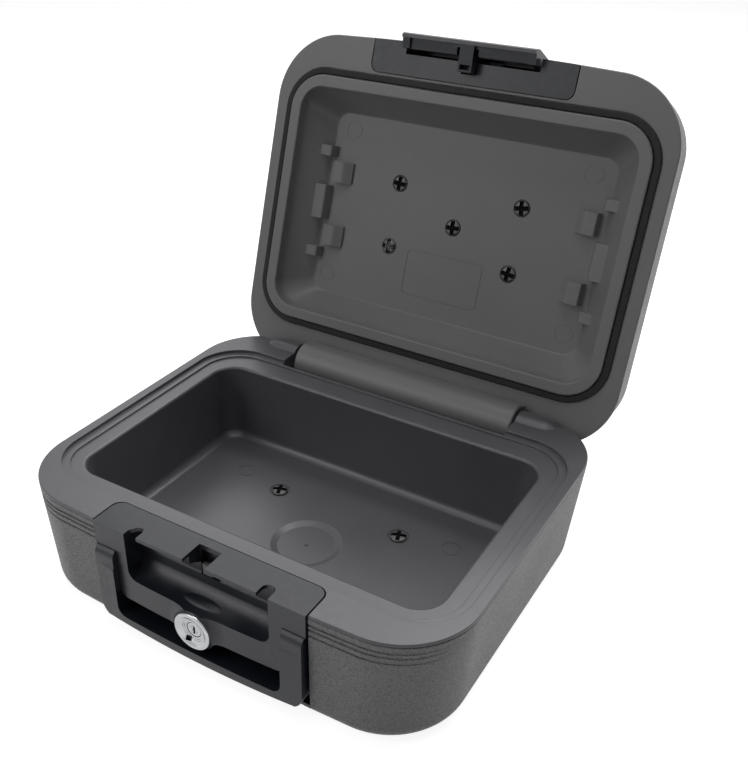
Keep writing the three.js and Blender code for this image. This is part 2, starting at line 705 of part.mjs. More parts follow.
// Front plate's outline: chamfered lower corners, and an edge that swells down round the lock
function plateOutline() {
  const half = PLATE_HALF_WIDTH;
  const rise = LOCK_Z - (PLATE_BOTTOM - BOSS_FILLET);
  const filletX = Math.sqrt((BOSS_RADIUS + BOSS_FILLET) ** 2 - rise ** 2);
  const meet = Math.atan2(rise, filletX);
  const shape = new THREE.Shape();
  shape.moveTo(-half, BASE_HEIGHT);
  shape.lineTo(-half, PLATE_BOTTOM + PLATE_CHAMFER);
  shape.lineTo(PLATE_CHAMFER - half, PLATE_BOTTOM);
  shape.absarc(-filletX, PLATE_BOTTOM - BOSS_FILLET, BOSS_FILLET, Math.PI / 2, meet, true);
  shape.absarc(0, LOCK_Z, BOSS_RADIUS, Math.PI + meet, 2 * Math.PI - meet, false);
  shape.absarc(filletX, PLATE_BOTTOM - BOSS_FILLET, BOSS_FILLET, Math.PI - meet, Math.PI / 2, true);
  shape.lineTo(half - PLATE_CHAMFER, PLATE_BOTTOM);
  shape.lineTo(half, PLATE_BOTTOM + PLATE_CHAMFER);
  shape.lineTo(half, BASE_HEIGHT);
  return shape;
}

// Black front piece: deck, shoulders, finger scoop, handle channel and the plate round the lock
function makeLockHousing() {
  const half = HOUSING_HALF_WIDTH;
  const shoulderZ = BASE_HEIGHT - SHOULDER_DROP;
  const deck = roundedRect(-half, half, FRONT_Y - DECK_CORNER, HOUSING_BACK_Y, DECK_CORNER);
  const front = box(-half, half, FRONT_Y, HOUSING_BACK_Y + 1, HOUSING_FOOT, BASE_HEIGHT);
  let housing = prismZ(deck, HOUSING_FOOT, BASE_HEIGHT).intersect(front);
  const channel = box(-half - 1, half + 1, FRONT_Y - 1, CHANNEL_BACK_Y, HOUSING_FOOT - 1, shoulderZ);
  const floor = box(-half + 1, half - 1, CHANNEL_FLOOR_FRONT_Y, CHANNEL_BACK_Y + 1, HOUSING_FOOT, CHANNEL_FLOOR_TOP);
  const face = prismZ(bowedPlan(half, faceY, FACE_BOW, CHANNEL_BACK_Y + 1), 0, BASE_HEIGHT);
  const plate = prismY(plateOutline(), faceY, CHANNEL_BACK_Y + 1).intersect(face);
  const boss = latheY([[0, 0], [BOSS_RADIUS - 1.5, 0], [BOSS_RADIUS - 0.5, 0.8], [BOSS_RADIUS, BOSS_PROUD + 1],
    [BOSS_RADIUS, -lockFaceY + CHANNEL_BACK_Y], [0, -lockFaceY + CHANNEL_BACK_Y]], 0, lockFaceY, LOCK_Z);
  housing = join(housing.subtract(channel), plate, boss, floor);

  const rise = [];
  for (let i = 0; i <= 6; i++) {
    const angle = (Math.PI / 2) * (i / 6);
    rise.push([faceY + (SCOOP_BACK_Y - faceY) * Math.sin(angle),
      SCOOP_BOTTOM + SCOOP_RISE * (1 - Math.cos(angle))]);
  }
  const scoop = prismX([[faceY - 1, SCOOP_BOTTOM], ...rise, [SCOOP_BACK_Y, lipBottomZ], [faceY - 1, lipBottomZ]],
    -SCOOP_HALF_WIDTH, SCOOP_HALF_WIDTH);
  const scoopMouth = prismY(roundedRect(-SCOOP_HALF_WIDTH, SCOOP_HALF_WIDTH, SCOOP_BOTTOM,
    BASE_HEIGHT + SCOOP_CORNER, SCOOP_CORNER), faceY - 2, SCOOP_BACK_Y + 1);
  const bulge = [];
  for (let i = 0; i <= 4; i++) {
    const angle = (Math.PI / 2) * (i / 4);
    bulge.push([DOME_RADIUS * Math.cos(angle), DOME_HEIGHT * Math.sin(angle)]);
  }
  const dome = latheZ([[0, 0], ...bulge], 0, FRONT_Y, SCOOP_BOTTOM)
    .intersect(box(-DOME_RADIUS, DOME_RADIUS, faceY, SCOOP_BACK_Y, SCOOP_BOTTOM, SCOOP_BOTTOM + 2 * DOME_HEIGHT));
  housing = housing.subtract(scoop.intersect(scoopMouth).subtract(dome));

  const cutZ = lipBottomZ - 1;
  const setback = box(-SCOOP_HALF_WIDTH, SCOOP_HALF_WIDTH, faceY - 1, FRONT_Y + LIP_SETBACK, cutZ, BASE_HEIGHT + 1);
  housing = housing.subtract(setback);
  for (const side of [-1, 1]) {
    const xs = [side * NOTCH_INNER_X, side * SCOOP_HALF_WIDTH].sort((a, b) => a - b);
    housing = housing.subtract(box(...xs, faceY - 1, NOTCH_BACK_Y, cutZ, BASE_HEIGHT + 1));
  }
  housing = housing.subtract(box(SLOT_LEFT_X, SLOT_RIGHT_X, faceY - 1, SLOT_BACK_Y, noseTipTop, BASE_HEIGHT + 1));

  const rear = HOUSING_BACK_Y + 1;
  const noseBottom = noseTipTop - NOSE_TIP - NOSE_HEIGHT;
  const noseReach = noseTipTop - NOSE_TIP + BOLT_LIFT + RUN_GAP;
  const gearRoom = latheY(rod(GEAR_RADIUS, rear - MECHANISM_FRONT_Y), 0, MECHANISM_FRONT_Y, LOCK_Z);
  const boltRoom = box(-BOLT_HALF_WIDTH - RUN_GAP, BOLT_HALF_WIDTH + RUN_GAP, boltFrontY - RUN_GAP, rear,
    LOCK_Z, noseReach);
  const window = box(-NOSE_HALF_WIDTH - RUN_GAP, NOSE_HALF_WIDTH + RUN_GAP, SCOOP_BACK_Y - 1, boltFrontY,
    noseBottom - RUN_GAP, noseReach);
  const bore = latheY(rod(LOCK_TUBE_RADIUS + SEAT_GAP, MECHANISM_FRONT_Y + 2 - lockFaceY), 0, lockFaceY - 1, LOCK_Z);
  housing = housing.subtract(join(gearRoom, boltRoom, window, bore));
  for (const side of [-1, 1]) housing = housing.subtract(handlePinBore(side, SEAT_GAP));
  return housing;
}

// Handle pivots run from the plate's edge out through the legs
function handlePinBore(side, extra) {
  const start = HANDLE_HALF_WIDTH - 1 - HANDLE_PIN_LENGTH;
  const pin = latheX(rod(HANDLE_PIN_RADIUS + extra, HANDLE_PIN_LENGTH + 2 * extra),
    start - extra, handlePivotY, handlePivotZ, 20);
  return side > 0 ? pin : mirrorX(pin);
}

function makeHandle() {
  const half = HANDLE_HALF_WIDTH;
  const inner = half - HANDLE_LEG_WIDTH;
  const reach = (HANDLE_BACK_Y - HANDLE_FRONT_Y) / 2;
  const frontY = HANDLE_FRONT_Y - HANDLE_BOW;
  const outline = roundedRect(-half, half, HANDLE_BOTTOM, handleLegTop + HANDLE_CORNER, HANDLE_CORNER);
  const front = prismY(outline, frontY, HANDLE_BAR_BACK_Y)
    .intersect(prismZ(bowedPlan(half, frontY, HANDLE_BOW, HANDLE_BAR_BACK_Y + 1), 0, BASE_HEIGHT));
  const opening = prismY(roundedRect(-inner, inner, HANDLE_BOTTOM + HANDLE_BAR_HEIGHT,
    handleLegTop + 3 * HANDLE_CORNER, HANDLE_INNER_CORNER), frontY - 1, HANDLE_BAR_BACK_Y + 1);
  const side = new THREE.Shape();
  side.moveTo(frontY, HANDLE_BOTTOM);
  side.lineTo(HANDLE_BAR_BACK_Y, HANDLE_BOTTOM);
  side.lineTo(HANDLE_BAR_BACK_Y, HANDLE_BOTTOM + HANDLE_BAR_HEIGHT - 1);
  side.quadraticCurveTo(HANDLE_BACK_Y, HANDLE_BOTTOM + HANDLE_BAR_HEIGHT,
    HANDLE_BACK_Y, HANDLE_BOTTOM + 2 * HANDLE_BAR_HEIGHT);
  side.lineTo(HANDLE_BACK_Y, handlePivotZ);
  side.absarc(handlePivotY, handlePivotZ, reach, 0, Math.PI);
  side.lineTo(HANDLE_FRONT_Y, handlePivotZ - reach);
  side.lineTo(frontY, handlePivotZ - 2 * reach);
  let handle = front.subtract(opening).intersect(prismX(side, -half - 1, half + 1));
  for (const turn of [-1, 1]) handle = handle.subtract(handlePinBore(turn, SEAT_GAP));
  return handle;
}

// Key lock: dished rim and threaded tube, with a bore for the plug
function makeLockBody() {
  const length = lockTubeEndY - lockFrontY;
  const bore = PLUG_RADIUS + SEAT_GAP;
  const rimBack = lockFaceY - SEAT_GAP - lockFrontY;
  const profile = [[bore, LOCK_DISH_DEPTH], [bore + 2, LOCK_DISH_DEPTH - 0.3],
    [LOCK_RIM_RADIUS - 2.2, 0.5], [LOCK_RIM_RADIUS - 1.2, 0], [LOCK_RIM_RADIUS, 0.9],
    [LOCK_RIM_RADIUS, rimBack], [LOCK_TUBE_RADIUS, rimBack], [LOCK_TUBE_RADIUS, length], [bore, length],
    [bore, LOCK_DISH_DEPTH]];
  return latheY(profile, 0, lockFrontY, LOCK_Z);
}

function makeLockPlug() {
  const plugFront = lockFrontY + LOCK_DISH_DEPTH;
  const length = lockTubeEndY - SEAT_GAP - plugFront;
  const camBack = BOLT_BACK_Y + SEAT_GAP + CAM_THICKNESS;
  const tail = camBack - plugFront;
  const profile = [[0, 0], [PLUG_RADIUS - 0.6, 0], [PLUG_RADIUS, 0.6], [PLUG_RADIUS, length],
    [TAIL_RADIUS, length], [TAIL_RADIUS, tail], [0, tail]];
  const [slotWidth, slotHeight, slotDepth] = KEY_SLOT;
  const key = box(-slotWidth / 2, slotWidth / 2, plugFront - 1, plugFront + slotDepth,
    LOCK_Z - slotHeight / 2, LOCK_Z + slotHeight / 2);
  return latheY(profile, 0, plugFront, LOCK_Z, 24).subtract(key);
}

function makeLockNut() {
  const y = MECHANISM_FRONT_Y + SEAT_GAP;
  const nut = latheY(rod(NUT_RADIUS, NUT_THICKNESS), 0, y, LOCK_Z, 6);
  return nut.subtract(latheY(rod(LOCK_TUBE_RADIUS + SEAT_GAP, NUT_THICKNESS + 2), 0, y - 1, LOCK_Z));
}

// Cam on the plug's tail, with a crank pin that lifts the bolt
function makeLockCam() {
  const y = BOLT_BACK_Y + SEAT_GAP;
  const disc = latheY(rod(CAM_RADIUS, CAM_THICKNESS), 0, y, LOCK_Z, 24);
  const pin = latheY(rod(CRANK_PIN_RADIUS, BOLT_THICKNESS), -crankRadius * Math.cos(crankAngle),
    y - BOLT_THICKNESS + SEAT_GAP / 2, LOCK_Z - BOLT_LIFT / 2, 12);
  const hub = latheY(rod(TAIL_RADIUS + SEAT_GAP, CAM_THICKNESS + 2), 0, y - 1, LOCK_Z, 16);
  return disc.add(pin).subtract(hub);
}

// Sliding bolt: slotted foot on the crank pin, stem, and a nose that hooks into the latch tongue
function makeLockBolt() {
  const pinZ = LOCK_Z - BOLT_LIFT / 2;
  const slotHalf = CRANK_PIN_RADIUS + RUN_GAP;
  const footX = TAIL_RADIUS + 2 * RUN_GAP;
  const footHalf = slotHalf + 3;
  const shoulderZ = LOCK_Z + TAIL_RADIUS + RUN_GAP;
  const noseTop = noseTipTop - NOSE_TIP;
  const half = BOLT_HALF_WIDTH;
  const foot = box(-half - 3, -footX, boltFrontY, BOLT_BACK_Y, pinZ - footHalf, shoulderZ + 1.5);
  const slot = box(-half - 1, 1 - footX, boltFrontY - 1, BOLT_BACK_Y + 1, pinZ - slotHalf, pinZ + slotHalf);
  const stem = box(-half, half, boltFrontY, BOLT_BACK_Y, shoulderZ, noseTop);
  const noseProfile = [[noseFrontY, noseTop - NOSE_HEIGHT], [boltFrontY + 1, noseTop - NOSE_HEIGHT],
    [boltFrontY + 1, noseTop], [noseFrontY + NOSE_TIP_DEPTH, noseTop],
    [noseFrontY + NOSE_TIP_DEPTH, noseTipTop], [noseFrontY, noseTipTop]];
  return join(foot.subtract(slot), stem, prismX(noseProfile, -NOSE_HALF_WIDTH, NOSE_HALF_WIDTH));
}

// Latch room in the front of the lid, for the latch plate's box, grown by extra
function latchPocket(extra) {
  const half = FLAP_HALF_WIDTH + 2 * RUN_GAP + LATCH_BOX_WALL + extra;
  return box(-half, half, FRONT_Y - 20, LATCH_BOX_BACK_Y + extra, BASE_HEIGHT - 20, latchBoxTopZ + extra);
}

function latchInlay(extra) {
  const half = LATCH_PLATE_HALF_WIDTH + extra;
  return roundedRect(-half, half, FRONT_Y - 20, LATCH_PLATE_BACK_Y + extra, LATCH_PLATE_CORNER + extra);
}

// Room in the lid behind the hinge line and round the base's knuckles
function hingeRoom(extra) {
  const half = knuckleEnd + 2 + extra;
  const behind = box(-half, half, HINGE_Y, BACK_Y + KNUCKLE_RADIUS, barrelRoomBottom, lidLandZ + BACK_RELIEF + extra);
  const keep = box(-BARREL_HALF_LENGTH, BARREL_HALF_LENGTH, HINGE_Y - KNUCKLE_RADIUS, BACK_Y + KNUCKLE_RADIUS, 0, lidTopZ);
  return join(bothKnuckles(TROUGH_CLEARANCE + extra), behind.subtract(keep));
}

// Lid shell: tapered cap with screw posts
function makeLidShell() {
  const bottom = lidLandZ + FLANGE_THICKNESS + SEAT_GAP;
  let shell = lidForm(0, bottom, lidTopZ).subtract(lidForm(SHELL_WALL, bottom - 1, lidTopZ - SHELL_WALL));
  for (const [x, y] of lidScrewPlaces) {
    const end = panelZ + LINER_WALL + SEAT_GAP;
    shell = shell.add(post(x, y, end, lidTopZ - SHELL_WALL / 2, POST_RADIUS));
    shell = shell.subtract(post(x, y, end - 1, end + SCREW_BITE + 2, screwPilot));
  }
  const opening = latchPocket(SEAT_GAP).intersect(
    box(-FLAP_HALF_WIDTH - 20, FLAP_HALF_WIDTH + 20, FRONT_Y - 9, LATCH_BOX_BACK_Y + 9, 0, lidTopZ));
  shell = shell.subtract(opening).subtract(hingeRoom(LINER_WALL + SEAT_GAP));
  const barrelGap = latheX(rod(BARREL_RADIUS + SEAT_GAP, 2 * BARREL_HALF_LENGTH + 2 * SEAT_GAP),
    -BARREL_HALF_LENGTH - SEAT_GAP, HINGE_Y, hingeZ);
  return shell.subtract(barrelGap);
}

// Sections of the lid's cavity from lip to panel
function lidCavity(inset, bottom, top) {
  const mouth = { ...lipPlan };
  const at = (share, extra, z) => {
    const mix = (a, b) => a + (b - a) * share;
    const start = LIP_WIDTH;
    return {
      points: planOutline({
        halfWidth: mix(mouth.halfWidth - start, PANEL_HALF_WIDTH),
        front: mix(mouth.front + start, PANEL_FRONT_Y),
        back: mix(mouth.back - start, PANEL_BACK_Y),
        frontRadius: mix(LIP_CORNER - start, PANEL_CORNER),
        backRadius: mix(LIP_CORNER - start, PANEL_CORNER),
      }, inset + extra),
      z,
    };
  };
  const depth = top - bottom;
  return [
    at(0, -LIP_ROUND, bottom - 1),
    at(0, -LIP_ROUND, bottom),
    at(0, 0, bottom + LIP_ROUND),
    at(0.12, 0, bottom + 0.35 * depth),
    at(0.86, 0, bottom + 0.92 * depth),
    at(1, 0, top),
  ];
}

// Clips that hold papers against the panel, on the right; the left ones mirror them
function makeClips() {
  const [padX, padY, padZ] = CLIP_PAD;
  const [stepX, stepZ] = CLIP_STEP;
  const pads = [-1, 1].flatMap((way) => {
    const y0 = CLIP_MIDDLE_Y + way * CLIP_PAD_Y - padY / 2;
    const x0 = CLIP_PAD_X - padX / 2;
    const block = prismZ(roundedRect(x0, x0 + padX, y0, y0 + padY, CLIP_CORNER), panelZ - padZ, panelZ + 1, 2);
    const step = prismZ(roundedRect(x0 - stepX, x0 + padX / 2, y0, y0 + padY, CLIP_CORNER), panelZ - stepZ, panelZ + 1, 2);
    return [block, step];
  });
  const ledges = [
    [-CLIP_TAB_Y, CLIP_TAB_LENGTH, CLIP_TAB_INNER_X],
    [0, CLIP_BAR_LENGTH, CLIP_BAR_INNER_X],
    [CLIP_TAB_Y, CLIP_TAB_LENGTH, CLIP_TAB_INNER_X],
  ].map(([dy, length, x0]) => {
    const y = CLIP_MIDDLE_Y + dy;
    const z = panelZ - CLIP_DEPTH;
    const x1 = CLIP_TAB_INNER_X + CLIP_REACH;
    const profile = [[x0, z], [x1, z - 1], [x1, z + CLIP_THICKNESS + 4], [x0, z + CLIP_THICKNESS]];
    return prismY(profile, y - length / 2, y + length / 2);
  });
  return join(...pads, ...ledges);
}

// Lid liner: flange, lip, sloped walls, panel with clips, and the hinge barrel
function makeLidLiner() {
  const lipFace = lidLandZ - LIP_PROUD;
  const flangeTop = lidLandZ + FLANGE_THICKNESS;
  const flange = skin([
    { points: planOutline(rimPlan, 1), z: lidLandZ },
    { points: planOutline(rimPlan, 0.2), z: lidLandZ + 0.8 },
    { points: planOutline(rimPlan, 0), z: flangeTop },
  ]);
  const lip = skin([
    { points: planOutline(lipPlan, LIP_ROUND), z: lipFace },
    { points: planOutline(lipPlan, LIP_ROUND * 0.3), z: lipFace + LIP_ROUND * 0.3 },
    { points: planOutline(lipPlan, 0), z: lipFace + LIP_ROUND },
    { points: planOutline(lipPlan, 0), z: lidLandZ + 1 },
  ]);
  const tubTop = panelZ + LINER_WALL;
  const tub = skin(lidCavity(-LINER_WALL, lidLandZ + 1, tubTop));
  const grooveOut = planOutline(lipPlan, -SEAL_WIDTH - SEAT_GAP);
  const groove = prismZ(grooveOut, lidLandZ - 1, lidLandZ + SEAL_GROOVE)
    .subtract(prismZ(planOutline(lipPlan, 0), lidLandZ - 2, lidLandZ + SEAL_GROOVE + 1));
  const half = BARREL_HALF_LENGTH;
  const barrel = latheX(rod(BARREL_RADIUS, 2 * half), -half, HINGE_Y, hingeZ, 36);
  const arm = prismX([[HINGE_Y - BARREL_ARM_REACH, lidLandZ + 1], [HINGE_Y - BARREL_ARM_REACH, lidLandZ - 0.6],
    [HINGE_Y - BARREL_RADIUS * 0.8, hingeZ], [HINGE_Y, hingeZ], [HINGE_Y + 9, lidLandZ + 1]], -half, half);
  const rimBack = prismZ(planOutline(rimPlan, 0), 0, lidTopZ);
  const trough = hingeRoom(LINER_WALL).intersect(prismZ(planOutline(rimPlan, 0.6), lidLandZ, lidTopZ));
  let liner = join(flange, lip, tub).subtract(groove);
  liner = liner.subtract(latchPocket(SEAT_GAP));
  liner = liner.subtract(prismZ(latchInlay(SEAT_GAP), lidLandZ - 1, flangeTop + 1));
  liner = liner.add(trough).subtract(hingeRoom(0));
  liner = liner.add(join(barrel, arm.intersect(rimBack)));
  let cavity = skin(lidCavity(0, lipFace, panelZ));
  const clips = makeClips();
  cavity = cavity.subtract(join(clips, mirrorX(clips)));
  liner = liner.subtract(cavity);
  for (const [x, y] of lidScrewPlaces) liner = liner.subtract(screwSeat(x, y, panelZ, -1, LID_SEAT_RADIUS));
  for (const side of [-1, 1]) {
    const start = side > 0 ? half - HINGE_PIN_LENGTH / 2 : -half - 1;
    liner = liner.subtract(hingeBore(HINGE_PIN_RADIUS + SEAT_GAP, start, start + HINGE_PIN_LENGTH / 2 + 1));
  }
  return liner;
}

// Cast fill between the lid's shell and liner
function makeLidInsulation() {
  const bottom = lidLandZ + FLANGE_THICKNESS + SEAT_GAP;
  const gap = SHELL_WALL + SEAT_GAP;
  let fill = lidForm(gap, bottom, lidTopZ - gap);
  fill = fill.subtract(skin(lidCavity(-LINER_WALL - 2 * SEAT_GAP, lidLandZ + 1, panelZ + LINER_WALL + SEAT_GAP)));
  fill = fill.subtract(latchPocket(2 * SEAT_GAP)).subtract(hingeBay(LINER_WALL + SEAT_GAP, lidLandZ));
  for (const [x, y] of lidScrewPlaces) fill = fill.subtract(post(x, y, 0, lidTopZ, POST_RADIUS + SEAT_GAP));
  return fill;
}

function makeLidSeal() {
  const outside = planOutline(lipPlan, -SEAL_WIDTH);
  const inside = planOutline(lipPlan, -SEAT_GAP);
  const z0 = lidLandZ - SEAL_PROUD;
  const z1 = lidLandZ + SEAL_GROOVE - SEAT_GAP;
  const strip = skin([
    { points: planOutline(lipPlan, 0.8 - SEAL_WIDTH), z: z0 },
    { points: outside, z: z0 + 0.8 },
    { points: outside, z: z1 },
  ]);
  return strip.subtract(prismZ(inside, z0 - 1, z1 + 1));
}

// Latch plate: inlay in the lid's rim with a window for the flap and a box behind it
function makeLatchPlate() {
  const z0 = lidLandZ;
  const z1 = lidLandZ + FLANGE_THICKNESS;
  const rim = prismZ(planOutline(rimPlan, 0.2), z0 - 1, lidTopZ);
  const inner = FLAP_HALF_WIDTH + 2 * RUN_GAP;
  const outer = inner + LATCH_BOX_WALL;
  const plate = prismZ(latchInlay(0), z0, z1).intersect(rim);
  const cheekFront = LATCH_PIN_Y - LATCH_BARREL_RADIUS - 2;
  const shell = box(-outer, outer, cheekFront, LATCH_BOX_BACK_Y, z1 - 1, latchBoxTopZ);
  const room = box(-inner, inner, cheekFront - 20, LATCH_BOX_BACK_Y - LATCH_BOX_WALL, z0 - 1, latchBoxTopZ - LATCH_BOX_WALL);
  const slot = box(-TONGUE_HALF_WIDTH - 1, TONGUE_HALF_WIDTH + 1, cheekFront, TONGUE_BACK_Y + 1, z0 - 1, z1 + 1);
  const window = box(-inner, inner, FRONT_Y - 9, HOOK_BACK_Y + 4, z0 - 1, z1 + 1);
  const upper = room.intersect(box(-inner, inner, FRONT_Y - 30, BACK_Y, z1, lidTopZ));
  const bore = latheX(rod(LATCH_PIN_RADIUS + SEAT_GAP, 2 * outer + 2), -outer - 1, LATCH_PIN_Y, latchPinZ, 16);
  return plate.add(shell).subtract(upper).subtract(window).subtract(slot).subtract(bore);
}

// Flap: curved outer wall, end ribs, centre tongue and two hooks under the deck's lip
function makeLatchFlap() {
  const bottom = flapBottom;
  const frontY = FRONT_Y - FLAP_PROUD;
  const topY = FRONT_Y + lidInset(flapTopZ) - 1;
  const wall = new THREE.Shape();
  wall.moveTo(frontY + 2, bottom);
  wall.quadraticCurveTo(frontY - 0.5, bottom + 1, frontY, bottom + 8);
  wall.lineTo(topY, flapTopZ - 3);
  wall.quadraticCurveTo(topY + 0.5, flapTopZ, topY + 3, flapTopZ);
  wall.lineTo(topY + FLAP_WALL + 1, flapTopZ - FLAP_WALL);
  wall.lineTo(frontY + FLAP_WALL, bottom + 8);
  wall.lineTo(frontY + FLAP_WALL + 1, bottom);
  const half = FLAP_HALF_WIDTH;
  const skinWall = prismX(wall, -half, half);
  const ribProfile = (back) => [[frontY + 1, bottom + 1], [back, tongueBottom], [back, lidLandZ + FLANGE_THICKNESS + 1],
    [LATCH_PIN_Y + LATCH_BARREL_RADIUS, latchPinZ], [LATCH_PIN_Y, latchPinZ + LATCH_BARREL_RADIUS],
    [topY + 1, flapTopZ - 2], [topY + 1, flapTopZ - 6]];
  const ribs = [-1, 1].map((side) => {
    const xs = [side * half, side * (half - FLAP_RIB_WIDTH)].sort((a, b) => a - b);
    return prismX(ribProfile(HOOK_BACK_Y), ...xs);
  });
  const tongue = prismX(ribProfile(TONGUE_BACK_Y), -TONGUE_HALF_WIDTH, TONGUE_HALF_WIDTH);
  const [pocketDepth, pocketHeight] = TONGUE_POCKET;
  const notch = box(-NOSE_HALF_WIDTH - RUN_GAP, NOSE_HALF_WIDTH + RUN_GAP, pocketBackY - pocketDepth, pocketBackY,
    0, tongueBottom + pocketHeight);
  const lipEdgeY = FRONT_Y + LIP_SETBACK;
  const hookRadius = Math.hypot(lipEdgeY - LATCH_PIN_Y, lipBottomZ - latchPinZ) + SEAT_GAP;
  const hookTop = (y) => latchPinZ - Math.sqrt(hookRadius ** 2 - (y - LATCH_PIN_Y) ** 2);
  const hookArc = [];
  for (let i = 0; i <= HOOK_STEPS; i++) {
    const y = HOOK_BACK_Y + (lipEdgeY - HOOK_BACK_Y) * i / HOOK_STEPS;
    hookArc.push([y, hookTop(y)]);
  }
  const hookBottom = hookTop(HOOK_BACK_Y) - HOOK_THICKNESS;
  const hook = prismX([[frontY + 1, hookBottom - 1], [HOOK_BACK_Y - 2, hookBottom],
    [HOOK_BACK_Y, hookBottom + HOOK_THICKNESS / 2], ...hookArc, [frontY + 1, hookTop(lipEdgeY)]],
  -NOTCH_INNER_X - 2, NOTCH_INNER_X + 2);
  const barrelLeft = latheX(rod(LATCH_BARREL_RADIUS, half - SPRING_X), -half, LATCH_PIN_Y, latchPinZ, 16)
    .add(box(-half, -SPRING_X, topY - 1, LATCH_PIN_Y, latchPinZ - 1.5, latchPinZ + 1.5));
  const barrels = join(barrelLeft, mirrorX(barrelLeft));
  const hookGap = box(SLOT_LEFT_X, SLOT_RIGHT_X, FRONT_Y + 1, HOOK_BACK_Y + 9,
    hookBottom - 9, lipBottomZ).subtract(tongue);
  const flap = join(skinWall, ...ribs, tongue.subtract(notch), hook.subtract(hookGap), barrels);
  const bore = latheX(rod(LATCH_PIN_RADIUS + SEAT_GAP, 2 * half + 2), -half - 1, LATCH_PIN_Y, latchPinZ, 16);
  return flap.subtract(bore);
}

const latchPinHalf = FLAP_HALF_WIDTH + 2 * RUN_GAP + LATCH_BOX_WALL - SEAT_GAP;

// Torsion spring on the latch pin, one leg on the flap and one on the latch box
class CoilPath extends THREE.Curve {
  getPoint(t, target = new THREE.Vector3()) {
    const angle = t * SPRING_TURNS * 2 * Math.PI;
    const radius = SPRING_COIL_RADIUS;
    const pitch = 3 * SPRING_WIRE_RADIUS;
    return target.set(pitch * SPRING_TURNS * (t - 0.5), radius * Math.cos(angle), radius * Math.sin(angle));
  }
}

function makeLatchSpring() {
  const sides = [0, 1, 2, 3, 4].map((i) => i * 2 * Math.PI / 5);
  const wire = sides.map((angle) => [SPRING_WIRE_RADIUS * Math.cos(angle), SPRING_WIRE_RADIUS * Math.sin(angle)]);
  const coil = new THREE.ExtrudeGeometry(asShape(wire), {
    steps: SPRING_TURNS * 8, extrudePath: new CoilPath(), bevelEnabled: false,
  });
  const x = (SPRING_X - TONGUE_HALF_WIDTH) / 2 + TONGUE_HALF_WIDTH;
  return solid(coil.translate(x, LATCH_PIN_Y, latchPinZ));
}

// Assembly
const chest = new THREE.Group();
const base = new THREE.Group();
const lidTurn = new THREE.Group();
const lid = new THREE.Group();
lidTurn.position.set(0, HINGE_Y, hingeZ);
lidTurn.rotation.x = -THREE.MathUtils.degToRad(OPEN_ANGLE);
lid.position.set(0, -HINGE_Y, -hingeZ);
lidTurn.add(lid);
chest.add(base, lidTurn);

mesh('base_shell', makeBaseShell(), texturedGrey, base);
mesh('base_liner', makeBaseLiner(), smoothGrey, base);
mesh('base_insulation', makeBaseInsulation(), castFill, base);
mesh('lock_housing', makeLockHousing(), blackPlastic, base);
mesh('handle', makeHandle(), blackPlastic, base);
mesh('lock_body', makeLockBody(), satinChrome, base);
mesh('lock_plug', makeLockPlug(), satinChrome, base);
mesh('lock_nut', makeLockNut(), steel, base);
mesh('lock_cam', makeLockCam(), steel, base);
mesh('lock_bolt', makeLockBolt(), steel, base);
for (const [side, word] of [[-1, 'left'], [1, 'right']]) {
  const start = side > 0 ? BARREL_HALF_LENGTH - HINGE_PIN_LENGTH / 2 + 1 : -BARREL_HALF_LENGTH - HINGE_PIN_LENGTH / 2 - 1;
  mesh(`hinge_pin_${word}`, hingeBore(HINGE_PIN_RADIUS, start, start + HINGE_PIN_LENGTH), steel, base);
  mesh(`handle_pin_${word}`, handlePinBore(side, 0), steel, base);
  const [x, y] = baseScrewPlaces[side > 0 ? 1 : 0];
  mesh(`base_screw_${word}`, screw(x, y, FLOOR_TOP - SCREW_SINK + SEAT_GAP, SCREW_BITE, false), blackScrew, base);
}

mesh('lid_shell', makeLidShell(), texturedGrey, lid);
mesh('lid_liner', makeLidLiner(), smoothGrey, lid);
mesh('lid_insulation', makeLidInsulation(), castFill, lid);
mesh('lid_seal', makeLidSeal(), blackRubber, lid);
mesh('latch_plate', makeLatchPlate(), blackPlastic, lid);
mesh('latch_flap', makeLatchFlap(), blackPlastic, lid);
mesh('latch_pin', latheX(rod(LATCH_PIN_RADIUS, 2 * latchPinHalf), -latchPinHalf, LATCH_PIN_Y, latchPinZ, 16), steel, lid);
mesh('latch_spring', makeLatchSpring(), steel, lid);
lidScrewPlaces.forEach(([x, y], i) => {
  mesh(`lid_screw_${i + 1}`, screw(x, y, panelZ + SCREW_SINK - SEAT_GAP, SCREW_BITE, true), blackScrew, lid);
});

export default chest;
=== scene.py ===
"""Fire-resistant document chest with its lid open: finished meshes, materials, light and camera."""
import json
import logging
import math
from collections.abc import Callable, Sequence
from dataclasses import dataclass, field, replace
from enum import Enum

import bmesh
import bpy
from mathutils import Matrix, Vector

